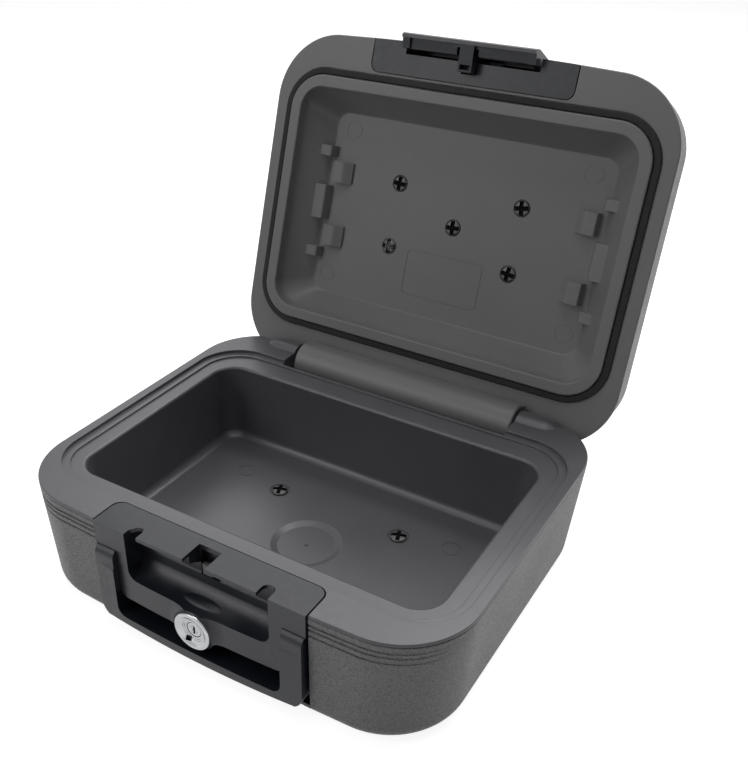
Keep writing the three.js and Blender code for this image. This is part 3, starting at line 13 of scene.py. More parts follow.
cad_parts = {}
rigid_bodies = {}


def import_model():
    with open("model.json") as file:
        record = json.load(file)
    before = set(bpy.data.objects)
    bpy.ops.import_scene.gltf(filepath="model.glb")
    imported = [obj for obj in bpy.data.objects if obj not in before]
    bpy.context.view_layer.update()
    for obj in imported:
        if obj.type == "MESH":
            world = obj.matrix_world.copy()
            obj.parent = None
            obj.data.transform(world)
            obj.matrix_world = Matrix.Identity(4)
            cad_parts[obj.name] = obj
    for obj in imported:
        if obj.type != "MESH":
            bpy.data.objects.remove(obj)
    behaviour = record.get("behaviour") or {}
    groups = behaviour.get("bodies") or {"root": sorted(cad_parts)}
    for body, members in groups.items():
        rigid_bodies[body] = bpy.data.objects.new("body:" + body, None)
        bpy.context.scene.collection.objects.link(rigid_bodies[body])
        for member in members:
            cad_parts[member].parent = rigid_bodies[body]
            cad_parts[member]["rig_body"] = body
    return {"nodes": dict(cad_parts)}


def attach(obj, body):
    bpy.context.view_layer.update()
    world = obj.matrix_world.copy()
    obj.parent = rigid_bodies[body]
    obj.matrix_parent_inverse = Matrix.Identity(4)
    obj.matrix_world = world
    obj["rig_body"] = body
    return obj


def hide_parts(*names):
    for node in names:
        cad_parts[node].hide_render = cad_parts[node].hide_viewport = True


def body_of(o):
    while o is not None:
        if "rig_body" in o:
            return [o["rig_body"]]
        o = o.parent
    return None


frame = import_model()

LOG = logging.getLogger("document_chest")
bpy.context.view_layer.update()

# The CAD source is in millimetres and the frame in metres
MM = 0.001
CORNER_STEPS = 22
FRONT_CUTS = 15
ROUND_STEPS = 64
Pair = tuple[float, float]
Triple = tuple[float, float, float]


class Axis(Enum):
    """Direction along which a prism is drawn out or a profile is turned."""

    X = 0
    Y = 1
    Z = 2


class Side(Enum):
    """Left and right half of the chest."""

    LEFT = -1
    RIGHT = 1


# Plan outlines


@dataclass(frozen=True)
class Plan:
    """Outline seen from above: round corners and a front that may be bowed, in millimetres."""

    half_width: float
    front: float
    back: float
    front_radius: float
    back_radius: float
    bow: float = 0.0

    def inset(self, by: float) -> "Plan":
        """Moves the outline in by a distance, or out where it is negative."""
        return replace(
            self,
            half_width=self.half_width - by,
            front=self.front + by,
            back=self.back - by,
            front_radius=max(self.front_radius - by, 0.8),
            back_radius=max(self.back_radius - by, 0.8),
        )

    def toward(self, other: "Plan", share: float) -> "Plan":
        """Outline part of the way from this one to another.

        Args:
            other: outline at a share of one.
            share: how far to go.

        Returns:
            The outline between the two.
        """
        mixed = {
            name: getattr(self, name) + (getattr(other, name) - getattr(self, name)) * share
            for name in ("half_width", "front", "back", "front_radius", "back_radius", "bow")
        }
        return Plan(**mixed)


@dataclass(frozen=True)
class ChestSizes:
    """Sizes that several pieces share, as in the CAD source."""

    base_height: float = 92.0
    lid_height: float = 62.0
    wall: float = 3.0
    seat_gap: float = 0.3
    lid_gap: float = 0.4
    run_gap: float = 0.5
    hinge_y: float = 138.4
    hinge_z: float = 81.7
    open_angle: float = 107.1
    flange: float = 3.0
    barrel_radius: float = 18.0
    barrel_half: float = 103.5
    recess_half: float = 108.0
    recess_front: float = 109.5
    recess_clearance: float = 1.5
    knuckle_radius: float = 14.0
    knuckle_length: float = 38.5
    knuckle_nose: float = 18.0
    pin_radius: float = 3.0
    housing_half: float = 89.0
    housing_back: float = -122.0
    deck_corner: float = 8.0
    pocket_gap: float = 0.9

    @property
    def lid_land(self) -> float:
        """Height of the closed lid's rim."""
        return self.base_height + self.lid_gap

    @property
    def lid_top(self) -> float:
        """Height of the closed lid's top."""
        return self.base_height + self.lid_height

    @property
    def shell_top(self) -> float:
        """Height at which the base's textured wall ends under the rim."""
        return self.base_height - self.flange

    @property
    def knuckle_start(self) -> float:
        """Distance from the middle to the face of a hinge knuckle."""
        return self.recess_half + self.seat_gap

    @property
    def knuckle_end(self) -> float:
        """Distance from the middle to the tip of a hinge knuckle."""
        return self.knuckle_start + self.knuckle_length


SIZES = ChestSizes()
RIM = Plan(180.0, -149.5, 149.0, 58.0, 56.0, 2.5)
CAVITY = Plan(152.5, -103.4, 87.4, 20.0, 20.0)
SHELF = Plan(165.5, -115.5, 107.0, 34.0, 34.0)
LEDGE = Plan(172.0, -120.1, 112.5, 38.6, 39.5)
LIP = Plan(162.4, -112.5, 104.5, 31.0, 31.0)
PANEL = Plan(129.5, -84.0, 78.3, 12.0, 12.0)


# Solids under construction


class Solid:
    """Closed body in millimetres that other bodies can be cut from or added to."""

    def __init__(self, bm: bmesh.types.BMesh) -> None:
        """Takes over a bmesh, turns its faces outwards and keeps it as an object."""
        bmesh.ops.remove_doubles(bm, verts=bm.verts, dist=1e-4)
        bmesh.ops.recalc_face_normals(bm, faces=bm.faces)
        mesh = bpy.data.meshes.new("work")
        bm.to_mesh(mesh)
        bm.free()
        self.obj = bpy.data.objects.new("work", mesh)
        bpy.context.scene.collection.objects.link(self.obj)

    def _combine(self, others: Sequence["Solid"], operation: str) -> "Solid":
        """Runs one boolean after another and drops the tools.

        Args:
            others: bodies to combine with.
            operation: name of the boolean operation.

        Returns:
            This body.
        """
        for other in others:
            modifier = self.obj.modifiers.new("combine", "BOOLEAN")
            modifier.solver = "MANIFOLD"
            modifier.operation = operation
            modifier.object = other.obj
            graph = bpy.context.evaluated_depsgraph_get()
            mesh = bpy.data.meshes.new_from_object(self.obj.evaluated_get(graph))
            self.obj.modifiers.clear()
            old, self.obj.data = self.obj.data, mesh
            bpy.data.meshes.remove(old)
            other.drop()
        return self

    def cut(self, *others: "Solid") -> "Solid":
        """Takes other bodies away from this one."""
        return self._combine(others, "DIFFERENCE")

    def add(self, *others: "Solid") -> "Solid":
        """Adds other bodies to this one."""
        return self._combine(others, "UNION")

    def keep(self, *others: "Solid") -> "Solid":
        """Keeps what this body shares with others."""
        return self._combine(others, "INTERSECT")

    def drop(self) -> None:
        """Removes the work object and its mesh."""
        mesh = self.obj.data
        bpy.data.objects.remove(self.obj)
        bpy.data.meshes.remove(mesh)

    def moved(self, matrix: Matrix) -> "Solid":
        """Moves the body's mesh by a matrix and keeps its faces outwards."""
        self.obj.data.transform(matrix)
        if matrix.to_3x3().determinant() < 0:
            self.obj.data.flip_normals()
        return self

    def mirrored_pair(self) -> "Solid":
        """Adds the body's mirror image across the middle."""
        bm = bmesh.new()
        bm.from_mesh(self.obj.data)
        twin = Solid(bm).moved(Matrix.Scale(-1, 4, (1, 0, 0)))
        return self.add(twin)


def ring(bm: bmesh.types.BMesh, plan: Plan, z: float) -> list[bmesh.types.BMEdge]:
    """Lays one plan outline into a bmesh.

    Args:
        bm: mesh under construction.
        plan: outline to lay.
        z: its height.

    Returns:
        The edges of the closed outline.
    """
    steps = CORNER_STEPS
    made = bmesh.ops.create_circle(bm, cap_ends=False, radius=1.0, segments=4 * steps + FRONT_CUTS)["verts"]
    made.sort(key=lambda v: math.atan2(v.co.y, v.co.x) % math.tau)
    back = (plan.back_radius, plan.back - plan.back_radius)
    front = (plan.front_radius, plan.front + plan.bow + plan.front_radius)
    arcs = made[: 3 * steps] + made[3 * steps + FRONT_CUTS :]
    for i, vert in enumerate(arcs):
        quarter, step = divmod(i, steps)
        radius, middle_y = back if quarter < 2 else front
        middle_x = (plan.half_width - radius) * (1 if quarter in (0, 3) else -1)
        angle = (quarter + step / (steps - 1)) * math.pi / 2
        vert.co = (middle_x + radius * math.cos(angle), middle_y + radius * math.sin(angle), z)
    reach = plan.half_width - plan.front_radius
    for i, vert in enumerate(made[3 * steps : 3 * steps + FRONT_CUTS], 1):
        share = 2 * i / (FRONT_CUTS + 1) - 1
        vert.co = (reach * share, plan.front + plan.bow * share**2, z)
    return list({edge for vert in made for edge in vert.link_edges})


def loft(sections: Sequence[tuple[Plan, float]]) -> Solid:
    """Closed body through plan outlines at rising heights."""
    bm = bmesh.new()
    rings = [ring(bm, plan, z) for plan, z in sections]
    for low, high in zip(rings, rings[1:]):
        bmesh.ops.bridge_loops(bm, edges=low + high)
    for end in (rings[0], rings[-1]):
        bmesh.ops.edgeloop_fill(bm, edges=end)
    return Solid(bm)


def band(outside: Plan, inside: Plan, low: float, high: float) -> Solid:
    """Closed band between two outlines and two heights."""
    bm = bmesh.new()
    corners = ((outside, low), (outside, high), (inside, high), (inside, low))
    rings = [ring(bm, plan, z) for plan, z in corners]
    for first, second in zip(rings, rings[1:] + rings[:1]):
        bmesh.ops.bridge_loops(bm, edges=first + second)
    return Solid(bm)


def prism(
    points: Sequence[Pair], axis: Axis, low: float, high: float, rounds: dict[int, float] | None = None, steps: int = 8
) -> Solid:
    """Draws a flat outline out along an axis.

    Args:
        points: outline, as (y, z) along X, (x, z) along Y and (x, y) along Z.
        axis: direction of the draw.
        low: where it starts.
        high: where it ends.
        rounds: corner number to the reach of its rounding.
        steps: segments of each rounding.

    Returns:
        The closed body.
    """
    place: dict[Axis, Callable[[float, float], Triple]] = {
        Axis.X: lambda a, b: (low, a, b),
        Axis.Y: lambda a, b: (a, low, b),
        Axis.Z: lambda a, b: (a, b, low),
    }
    bm = bmesh.new()
    verts = [bm.verts.new(place[axis](*point)) for point in points]
    bm.faces.new(verts)
    for index, reach in (rounds or {}).items():
        bmesh.ops.bevel(
            bm, geom=[verts[index]], offset=reach, offset_type="OFFSET", segments=steps, profile=0.5,
            affect="VERTICES", material=-1, clamp_overlap=True,
        )
    shift = [0.0, 0.0, 0.0]
    shift[axis.value] = high - low
    grown = bmesh.ops.extrude_face_region(bm, geom=list(bm.faces))["geom"]
    moved = [item for item in grown if isinstance(item, bmesh.types.BMVert)]
    bmesh.ops.translate(bm, vec=shift, verts=moved)
    return Solid(bm)


def block(x: Pair, y: Pair, z: Pair, radius: float = 0.0, axis: Axis = Axis.Z, steps: int = 8) -> Solid:
    """Block between limits, with the edges along one axis rounded."""
    bm = bmesh.new()
    bmesh.ops.create_cube(bm, size=1.0)
    spans = (x, y, z)
    bmesh.ops.scale(bm, vec=[high - low for low, high in spans], verts=bm.verts)
    bmesh.ops.translate(bm, vec=[(low + high) / 2 for low, high in spans], verts=bm.verts)
    if radius:
        edges = [e for e in bm.edges if abs((e.verts[0].co - e.verts[1].co)[axis.value]) > 1e-6]
        bmesh.ops.bevel(
            bm, geom=edges, offset=radius, offset_type="OFFSET", segments=steps, profile=0.5,
            affect="EDGES", material=-1, clamp_overlap=True,
        )
    return Solid(bm)


def turned(profile: Sequence[Pair], axis: Axis, centre: Triple, steps: int = ROUND_STEPS) -> Solid:
    """Turns a profile about an axis.

    Args:
        profile: points as (radius, distance along the axis).
        axis: axis of the turned body.
        centre: where the profile's zero lies.
        steps: segments of the full turn.

    Returns:
        The closed body.
    """
    bm = bmesh.new()
    verts = [bm.verts.new((radius, 0.0, along)) for radius, along in profile]
    edges = [bm.edges.new(pair) for pair in zip(verts, verts[1:])]
    if profile[0][0] > 1e-6 or profile[-1][0] > 1e-6:
        edges.append(bm.edges.new((verts[-1], verts[0])))
    bmesh.ops.spin(
        bm, geom=[*verts, *edges], cent=(0, 0, 0), axis=(0, 0, 1), angle=math.tau, steps=steps, use_merge=True
    )
    turn = {
        Axis.X: Matrix.Rotation(math.pi / 2, 4, "Y"),
        Axis.Y: Matrix.Rotation(-math.pi / 2, 4, "X"),
        Axis.Z: Matrix.Identity(4),
    }[axis]
    bmesh.ops.transform(bm, matrix=Matrix.Translation(centre) @ turn, verts=bm.verts)
    return Solid(bm)


def rod(radius: float, length: float) -> list[Pair]:
    """Profile of a plain round bar."""
    return [(0.0, 0.0), (radius, 0.0), (radius, length), (0.0, length)]


def fillet(radius: float, steps: int) -> list[Pair]:
    """Inset and rise of a quarter round that starts flat, as (inset, height)."""
    angles = [math.pi / 2 * i / steps for i in range(steps + 1)]
    return [(radius * (1 - math.sin(a)), radius * (1 - math.cos(a))) for a in angles]


def bowed_plan(half: float, front: float, bow: float, back: float) -> list[Pair]:
    """Plan with a bowed front and a straight back, for cutting a face to the bow."""
    shares = [2 * i / 32 - 1 for i in range(33)]
    return [(half, back), (-half, back), *((half * s, front + bow * s * s) for s in shares)]


# Finishes


class Groups:
    """Shader node groups that several finishes use, each made once."""

    made: dict[str, bpy.types.ShaderNodeTree] = {}

    @classmethod
    def start(
        cls, name: str, inputs: Sequence[tuple[str, str, float]], outputs: Sequence[tuple[str, str]]
    ) -> tuple[bpy.types.ShaderNodeTree, bpy.types.Node, bpy.types.Node]:
        """Makes an empty group with its sockets.

        Args:
            name: the group's name.
            inputs: name, socket type and starting value of each input.
            outputs: name and socket type of each output.

        Returns:
            The tree and its input and output nodes.
        """
        tree = bpy.data.node_groups.new(name, "ShaderNodeTree")
        for label, kind, value in inputs:
            socket = tree.interface.new_socket(label, in_out="INPUT", socket_type=kind)
            if kind == "NodeSocketFloat":
                socket.default_value = value
        for label, kind in outputs:
            tree.interface.new_socket(label, in_out="OUTPUT", socket_type=kind)
        cls.made[name] = tree
        return tree, tree.nodes.new("NodeGroupInput"), tree.nodes.new("NodeGroupOutput")

    @classmethod
    def moulded_grain(cls) -> bpy.types.ShaderNodeTree:
        """Fine pebbled grain of a spark-eroded mould: a height and a mask of its pits."""
        if "moulded_grain" in cls.made:
            return cls.made["moulded_grain"]
        tree, given, result = cls.start(
            "moulded_grain",
            [("Vector", "NodeSocketVector", 0), ("Scale", "NodeSocketFloat", 1500), ("Softness", "NodeSocketFloat", 0.5)],
            [("Height", "NodeSocketFloat"), ("Pits", "NodeSocketFloat")],
        )
        fine = tree.nodes.new("ShaderNodeTexNoise")
        fine.inputs["Detail"].default_value = 3
        coarse = tree.nodes.new("ShaderNodeTexVoronoi")
        coarse.feature = "SMOOTH_F1"
        coarse.inputs["Smoothness"].default_value = 0.6
        for node in (fine, coarse):
            tree.links.new(given.outputs["Vector"], node.inputs["Vector"])
            tree.links.new(given.outputs["Scale"], node.inputs["Scale"])
        mixed = tree.nodes.new("ShaderNodeMix")
        tree.links.new(given.outputs["Softness"], mixed.inputs["Factor"])
        tree.links.new(fine.outputs["Fac"], mixed.inputs["A"])
        tree.links.new(coarse.outputs["Distance"], mixed.inputs["B"])
        pits = tree.nodes.new("ShaderNodeMapRange")
        pits.inputs["From Min"].default_value = 0.36
        pits.inputs["From Max"].default_value = 0.64
        tree.links.new(mixed.outputs["Result"], pits.inputs["Value"])
        tree.links.new(mixed.outputs["Result"], result.inputs["Height"])
        tree.links.new(pits.outputs["Result"], result.inputs["Pits"])
        return tree

    @classmethod
    def tone_drift(cls) -> bpy.types.ShaderNodeTree:
        """Slow cloudy change of tone over a moulding, from zero to one."""
        if "tone_drift" in cls.made:
            return cls.made["tone_drift"]
        tree, given, result = cls.start(
            "tone_drift",
            [("Vector", "NodeSocketVector", 0), ("Scale", "NodeSocketFloat", 14)],
            [("Drift", "NodeSocketFloat"), ("Streaks", "NodeSocketFloat")],
        )
        cloud = tree.nodes.new("ShaderNodeTexNoise")
        cloud.inputs["Detail"].default_value = 4
        cloud.inputs["Roughness"].default_value = 0.55
        tree.links.new(given.outputs["Vector"], cloud.inputs["Vector"])
        tree.links.new(given.outputs["Scale"], cloud.inputs["Scale"])
        spread = tree.nodes.new("ShaderNodeMapRange")
        spread.inputs["From Min"].default_value = 0.3
        spread.inputs["From Max"].default_value = 0.7
        tree.links.new(cloud.outputs["Fac"], spread.inputs["Value"])
        tree.links.new(spread.outputs["Result"], result.inputs["Drift"])
        stretch = tree.nodes.new("ShaderNodeMapping")
        stretch.inputs["Scale"].default_value = (1.0, 1.0, 0.12)
        tree.links.new(given.outputs["Vector"], stretch.inputs["Vector"])
        streak = tree.nodes.new("ShaderNodeTexNoise")
        streak.inputs["Scale"].default_value = 260
        streak.inputs["Detail"].default_value = 2
        tree.links.new(stretch.outputs["Vector"], streak.inputs["Vector"])
        tree.links.new(streak.outputs["Fac"], result.inputs["Streaks"])
        return tree

    @classmethod
    def edge_wear(cls) -> bpy.types.ShaderNodeTree:
        """Mask of rubbed outer edges, broken up by noise."""
        if "edge_wear" in cls.made:
            return cls.made["edge_wear"]
        tree, given, result = cls.start(
            "edge_wear",
            [("Vector", "NodeSocketVector", 0), ("Start", "NodeSocketFloat", 0.53), ("Full", "NodeSocketFloat", 0.6)],
            [("Mask", "NodeSocketFloat")],
        )
        shape = tree.nodes.new("ShaderNodeNewGeometry")
        ramp = tree.nodes.new("ShaderNodeMapRange")
        tree.links.new(shape.outputs["Pointiness"], ramp.inputs["Value"])
        tree.links.new(given.outputs["Start"], ramp.inputs["From Min"])
        tree.links.new(given.outputs["Full"], ramp.inputs["From Max"])
        noise = tree.nodes.new("ShaderNodeTexNoise")
        noise.inputs["Scale"].default_value = 180
        noise.inputs["Detail"].default_value = 5
        tree.links.new(given.outputs["Vector"], noise.inputs["Vector"])
        broken = tree.nodes.new("ShaderNodeMapRange")
        broken.inputs["From Min"].default_value = 0.42
        broken.inputs["From Max"].default_value = 0.62
        tree.links.new(noise.outputs["Fac"], broken.inputs["Value"])
        product = tree.nodes.new("ShaderNodeMath")
        product.operation = "MULTIPLY"
        tree.links.new(ramp.outputs["Result"], product.inputs[0])
        tree.links.new(broken.outputs["Result"], product.inputs[1])
        tree.links.new(product.outputs["Value"], result.inputs["Mask"])
        return tree

    @classmethod
    def settled_dust(cls) -> bpy.types.ShaderNodeTree:
        """Mask of thin dust on surfaces that face up."""
        if "settled_dust" in cls.made:
            return cls.made["settled_dust"]
        tree, given, result = cls.start(
            "settled_dust", [("Vector", "NodeSocketVector", 0)], [("Mask", "NodeSocketFloat")]
        )
        shape = tree.nodes.new("ShaderNodeNewGeometry")
        parts = tree.nodes.new("ShaderNodeSeparateXYZ")
        tree.links.new(shape.outputs["Normal"], parts.inputs["Vector"])
        up = tree.nodes.new("ShaderNodeMapRange")
        up.inputs["From Min"].default_value = 0.55
        up.inputs["From Max"].default_value = 1.0
        tree.links.new(parts.outputs["Z"], up.inputs["Value"])
        specks = tree.nodes.new("ShaderNodeTexNoise")
        specks.inputs["Scale"].default_value = 900
        specks.inputs["Detail"].default_value = 6
        tree.links.new(given.outputs["Vector"], specks.inputs["Vector"])
        thin = tree.nodes.new("ShaderNodeMapRange")
        thin.inputs["From Min"].default_value = 0.52
        thin.inputs["From Max"].default_value = 0.75
        tree.links.new(specks.outputs["Fac"], thin.inputs["Value"])
        product = tree.nodes.new("ShaderNodeMath")
        product.operation = "MULTIPLY"
        tree.links.new(up.outputs["Result"], product.inputs[0])
        tree.links.new(thin.outputs["Result"], product.inputs[1])
        tree.links.new(product.outputs["Value"], result.inputs["Mask"])
        return tree


@dataclass(frozen=True)
class Finish:
    """One procedural finish: colours in linear light, roughness span and grain."""

    name: str
    colour: Triple
    drift_colour: Triple
    roughness: Pair
    grain_scale: float
    grain_depth: float
    grain_softness: float = 0.5
    metallic: float = 0.0
    specular: float = 0.5
    coat: float = 0.0
    coat_roughness: float = 0.2
    sheen: float = 0.0
    wear_colour: Triple = (0.3, 0.3, 0.3)
    wear: float = 0.15
    dust: float = 0.0
    pit_shade: float = 0.12
    drift_scale: float = 14.0

    def material(self) -> bpy.types.Material:
        """Builds the finish as a material, or returns it if it is there already."""
        label = f"{self.name}_finish"
        known = bpy.data.materials.get(label)
        if known:
            return known
        made = bpy.data.materials.new(label)
        made.use_nodes = True
        tree = made.node_tree
        nodes, link = tree.nodes, tree.links.new
        shader = nodes["Principled BSDF"]
        place = nodes.new("ShaderNodeTexCoord").outputs["Object"]

        def group(maker: Callable[[], bpy.types.ShaderNodeTree], **values: float) -> bpy.types.Node:
            """Places one shared group on the object's coordinates with its own values."""
            node = nodes.new("ShaderNodeGroup")
            node.node_tree = maker()
            link(place, node.inputs["Vector"])
            for key, value in values.items():
                node.inputs[key].default_value = value
            return node

        def mix(factor: bpy.types.NodeSocket, amount: float, first: object, second: object) -> bpy.types.NodeSocket:
            """Mixes two colours by a mask times an amount."""
            scaled = nodes.new("ShaderNodeMath")
            scaled.operation = "MULTIPLY"
            link(factor, scaled.inputs[0])
            scaled.inputs[1].default_value = amount
            blend = nodes.new("ShaderNodeMix")
            blend.data_type = "RGBA"
            link(scaled.outputs["Value"], blend.inputs["Factor"])
            for socket, value in ((blend.inputs[6], first), (blend.inputs[7], second)):
                if isinstance(value, bpy.types.NodeSocket):
                    link(value, socket)
                else:
                    socket.default_value = (*value, 1.0)
            return blend.outputs[2]

        drift = group(Groups.tone_drift, Scale=self.drift_scale)
        grain = group(Groups.moulded_grain, Scale=self.grain_scale, Softness=self.grain_softness)
        wear = group(Groups.edge_wear)
        colour = mix(drift.outputs["Drift"], 1.0, self.colour, self.drift_colour)
        # Painted shade: the grain's pits are darkened by pit_shade.
        dark = tuple(c * (1 - self.pit_shade * 2) for c in self.colour)
        colour = mix(grain.outputs["Pits"], self.pit_shade, colour, dark)
        colour = mix(wear.outputs["Mask"], self.wear, colour, self.wear_colour)
        if self.dust:
            dust = group(Groups.settled_dust)
            colour = mix(dust.outputs["Mask"], self.dust, colour, (0.42, 0.41, 0.39))
        link(colour, shader.inputs["Base Color"])
        rough = nodes.new("ShaderNodeMapRange")
        link(drift.outputs["Drift"], rough.inputs["Value"])
        rough.inputs["To Min"].default_value, rough.inputs["To Max"].default_value = self.roughness
        link(rough.outputs["Result"], shader.inputs["Roughness"])
        bump = nodes.new("ShaderNodeBump")
        bump.inputs["Strength"].default_value = 1.0
        bump.inputs["Distance"].default_value = self.grain_depth
        link(grain.outputs["Height"], bump.inputs["Height"])
        link(bump.outputs["Normal"], shader.inputs["Normal"])
        shader.inputs["Metallic"].default_value = self.metallic
        shader.inputs["Specular IOR Level"].default_value = self.specular
        shader.inputs["Coat Weight"].default_value = self.coat
        shader.inputs["Coat Roughness"].default_value = self.coat_roughness
        shader.inputs["Sheen Weight"].default_value = self.sheen
        return made


class Look(Enum):
    """The chest's finishes."""

    STIPPLED_GREY = Finish(
        "stippled_grey", (0.262, 0.262, 0.272), (0.315, 0.315, 0.326), (0.50, 0.60), 820, 0.0005,
        grain_softness=0.45, wear=0.12, pit_shade=0.55, specular=0.45,
    )
    SATIN_GREY = Finish(
        "satin_grey", (0.108, 0.109, 0.118), (0.123, 0.124, 0.134), (0.29, 0.36), 2600, 0.00003,
        grain_softness=0.3, wear=0.2, pit_shade=0.05, wear_colour=(0.26, 0.26, 0.27), specular=0.42,
    )
    LID_GREY = Finish(
        "lid_grey", (0.222, 0.217, 0.219), (0.247, 0.242, 0.244), (0.34, 0.42), 2600, 0.00004,
        grain_softness=0.3, wear=0.2, pit_shade=0.06, wear_colour=(0.26, 0.26, 0.27), specular=0.34,
    )
    SATIN_BLACK = Finish(
        "satin_black", (0.0102, 0.0117, 0.0175), (0.0136, 0.0154, 0.0228), (0.30, 0.37), 2600, 0.00003,
        grain_softness=0.3, wear=0.25, pit_shade=0.05, wear_colour=(0.12, 0.12, 0.13), specular=0.42,
    )
    # Near-black painted shade for the faces deep in recesses: the lock window, the key slot and the screw crosses.
    SHADE_BLACK = Finish(
        "painted_shade_black", (0.003, 0.003, 0.003), (0.005, 0.005, 0.005), (0.6, 0.7), 2600, 0.00003, wear=0.05,
        wear_colour=(0.02, 0.02, 0.02), specular=0.05,
    )
    SEAL_RUBBER = Finish(
        "seal_rubber", (0.009, 0.009, 0.010), (0.013, 0.013, 0.014), (0.62, 0.75), 1800, 0.00005, wear=0.05,
        wear_colour=(0.05, 0.05, 0.05), specular=0.3, sheen=0.05, dust=0.03,
    )
    CAST_FILL = Finish(
        "cast_fill", (0.50, 0.48, 0.43), (0.58, 0.55, 0.50), (0.88, 0.95), 420, 0.0006, wear=0.1, pit_shade=0.3,
        wear_colour=(0.65, 0.62, 0.58),
    )
    SATIN_CHROME = Finish(
        "satin_chrome", (0.42, 0.425, 0.435), (0.50, 0.505, 0.515), (0.16, 0.24), 3200, 0.00002, metallic=1.0,
        wear=0.08, wear_colour=(0.7, 0.7, 0.71), pit_shade=0.06,
    )
    ZINC_STEEL = Finish(
        "zinc_steel", (0.42, 0.43, 0.44), (0.50, 0.51, 0.52), (0.32, 0.45), 2200, 0.00003, metallic=1.0,
        wear=0.3, wear_colour=(0.7, 0.7, 0.7), pit_shade=0.1,
    )
    DARK_STEEL = Finish(
        "dark_steel", (0.05, 0.05, 0.052), (0.07, 0.07, 0.072), (0.4, 0.5), 2200, 0.00003, metallic=0.6,
        wear=0.3, wear_colour=(0.2, 0.2, 0.2), pit_shade=0.1,
    )
    BLACK_SCREW = Finish(
        "black_screw", (0.10, 0.10, 0.102), (0.125, 0.125, 0.127), (0.3, 0.4), 2600, 0.00003, metallic=0.2,
        wear=0.5, wear_colour=(0.4, 0.4, 0.41), pit_shade=0.05,
    )

    def material(self) -> bpy.types.Material:
        """The finish as a Blender material."""
        return self.value.material()


# Pieces


@dataclass(frozen=True)
class Placing:
    """What a finished piece is called, rides on, stands for and takes its finish from."""

    name: str
    body: str
    nodes: tuple[str, ...]
    slot: str
    look: Look
    soften: float = 0.0
    soften_steps: int = 2
    smooth_angle: float = 34.0
    # Faces that the recess test picks take a second finish, a near-black painted shade for the recess.
    recess: Callable[[Vector], bool] | None = None
    recess_shade_look: Look | None = None


def lid_turn() -> Matrix:
    """Turn of the closed lid to its open rest place, in millimetres."""
    pivot = Matrix.Translation((0, SIZES.hinge_y, SIZES.hinge_z))
    return pivot @ Matrix.Rotation(-math.radians(SIZES.open_angle), 4, "X") @ pivot.inverted()


def finish_piece(body: Solid, placing: Placing) -> bpy.types.Object:
    """Turns a solid into a shaded piece in metres on its body.

    Args:
        body: solid in millimetres, lid pieces still closed.
        placing: name, body, nodes, slot and look.

    Returns:
        The finished object.
    """
    obj = body.obj
    obj.name = obj.data.name = placing.name
    if placing.body in ("lid", "latch"):
        obj.data.transform(lid_turn())
    bm = bmesh.new()
    bm.from_mesh(obj.data)
    bmesh.ops.remove_doubles(bm, verts=bm.verts, dist=0.004)
    bmesh.ops.dissolve_degenerate(bm, edges=bm.edges, dist=0.004)
    bmesh.ops.dissolve_limit(
        bm, angle_limit=math.radians(0.4), use_dissolve_boundaries=False, verts=bm.verts, edges=bm.edges,
        delimit={"NORMAL"},
    )
    if placing.soften:
        limit = math.radians(placing.smooth_angle)
        sharp = [e for e in bm.edges if e.is_manifold and e.calc_face_angle(0.0) > limit]
        bmesh.ops.bevel(
            bm, geom=sharp, offset=placing.soften, offset_type="OFFSET", segments=placing.soften_steps,
            profile=0.5, affect="EDGES", material=-1, clamp_overlap=True, miter_outer="ARC",
        )
    bmesh.ops.scale(bm, vec=(MM, MM, MM), verts=bm.verts)
    bm.to_mesh(obj.data)
    bm.free()
    mesh = obj.data
    mesh.polygons.foreach_set("use_smooth", [True] * len(mesh.polygons))
    mesh.set_sharp_from_angle(angle=math.radians(placing.smooth_angle))
    weighted = obj.modifiers.new("even shading", "WEIGHTED_NORMAL")
    weighted.keep_sharp = True
    mesh.materials.clear()
    mesh.materials.append(placing.look.material())
    # Recess faces take the second, near-black finish: painted shade in the recess.
    if placing.recess and placing.recess_shade_look:
        mesh.materials.append(placing.recess_shade_look.material())
        for face in mesh.polygons:
            face.material_index = int(placing.recess(face.center / MM))
    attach(obj, placing.body)
    if placing.nodes:
        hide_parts(*placing.nodes)
    LOG.info("%s: %d faces on %s", placing.name, len(mesh.polygons), placing.body)
    return obj


def node_copy(node: str) -> Solid:
    """Merged copy of a CAD node's mesh in millimetres, lid nodes turned back closed."""
    source = frame["nodes"][node]
    bm = bmesh.new()
    bm.from_mesh(source.data)
    bmesh.ops.transform(bm, matrix=source.matrix_world, verts=bm.verts)
    bmesh.ops.scale(bm, vec=(1 / MM,) * 3, verts=bm.verts)
    copy = Solid(bm)
    if body_of(source)[0] in ("lid", "latch"):
        copy.obj.data.transform(lid_turn().inverted())
    return copy


# Hinge forms that base and lid share


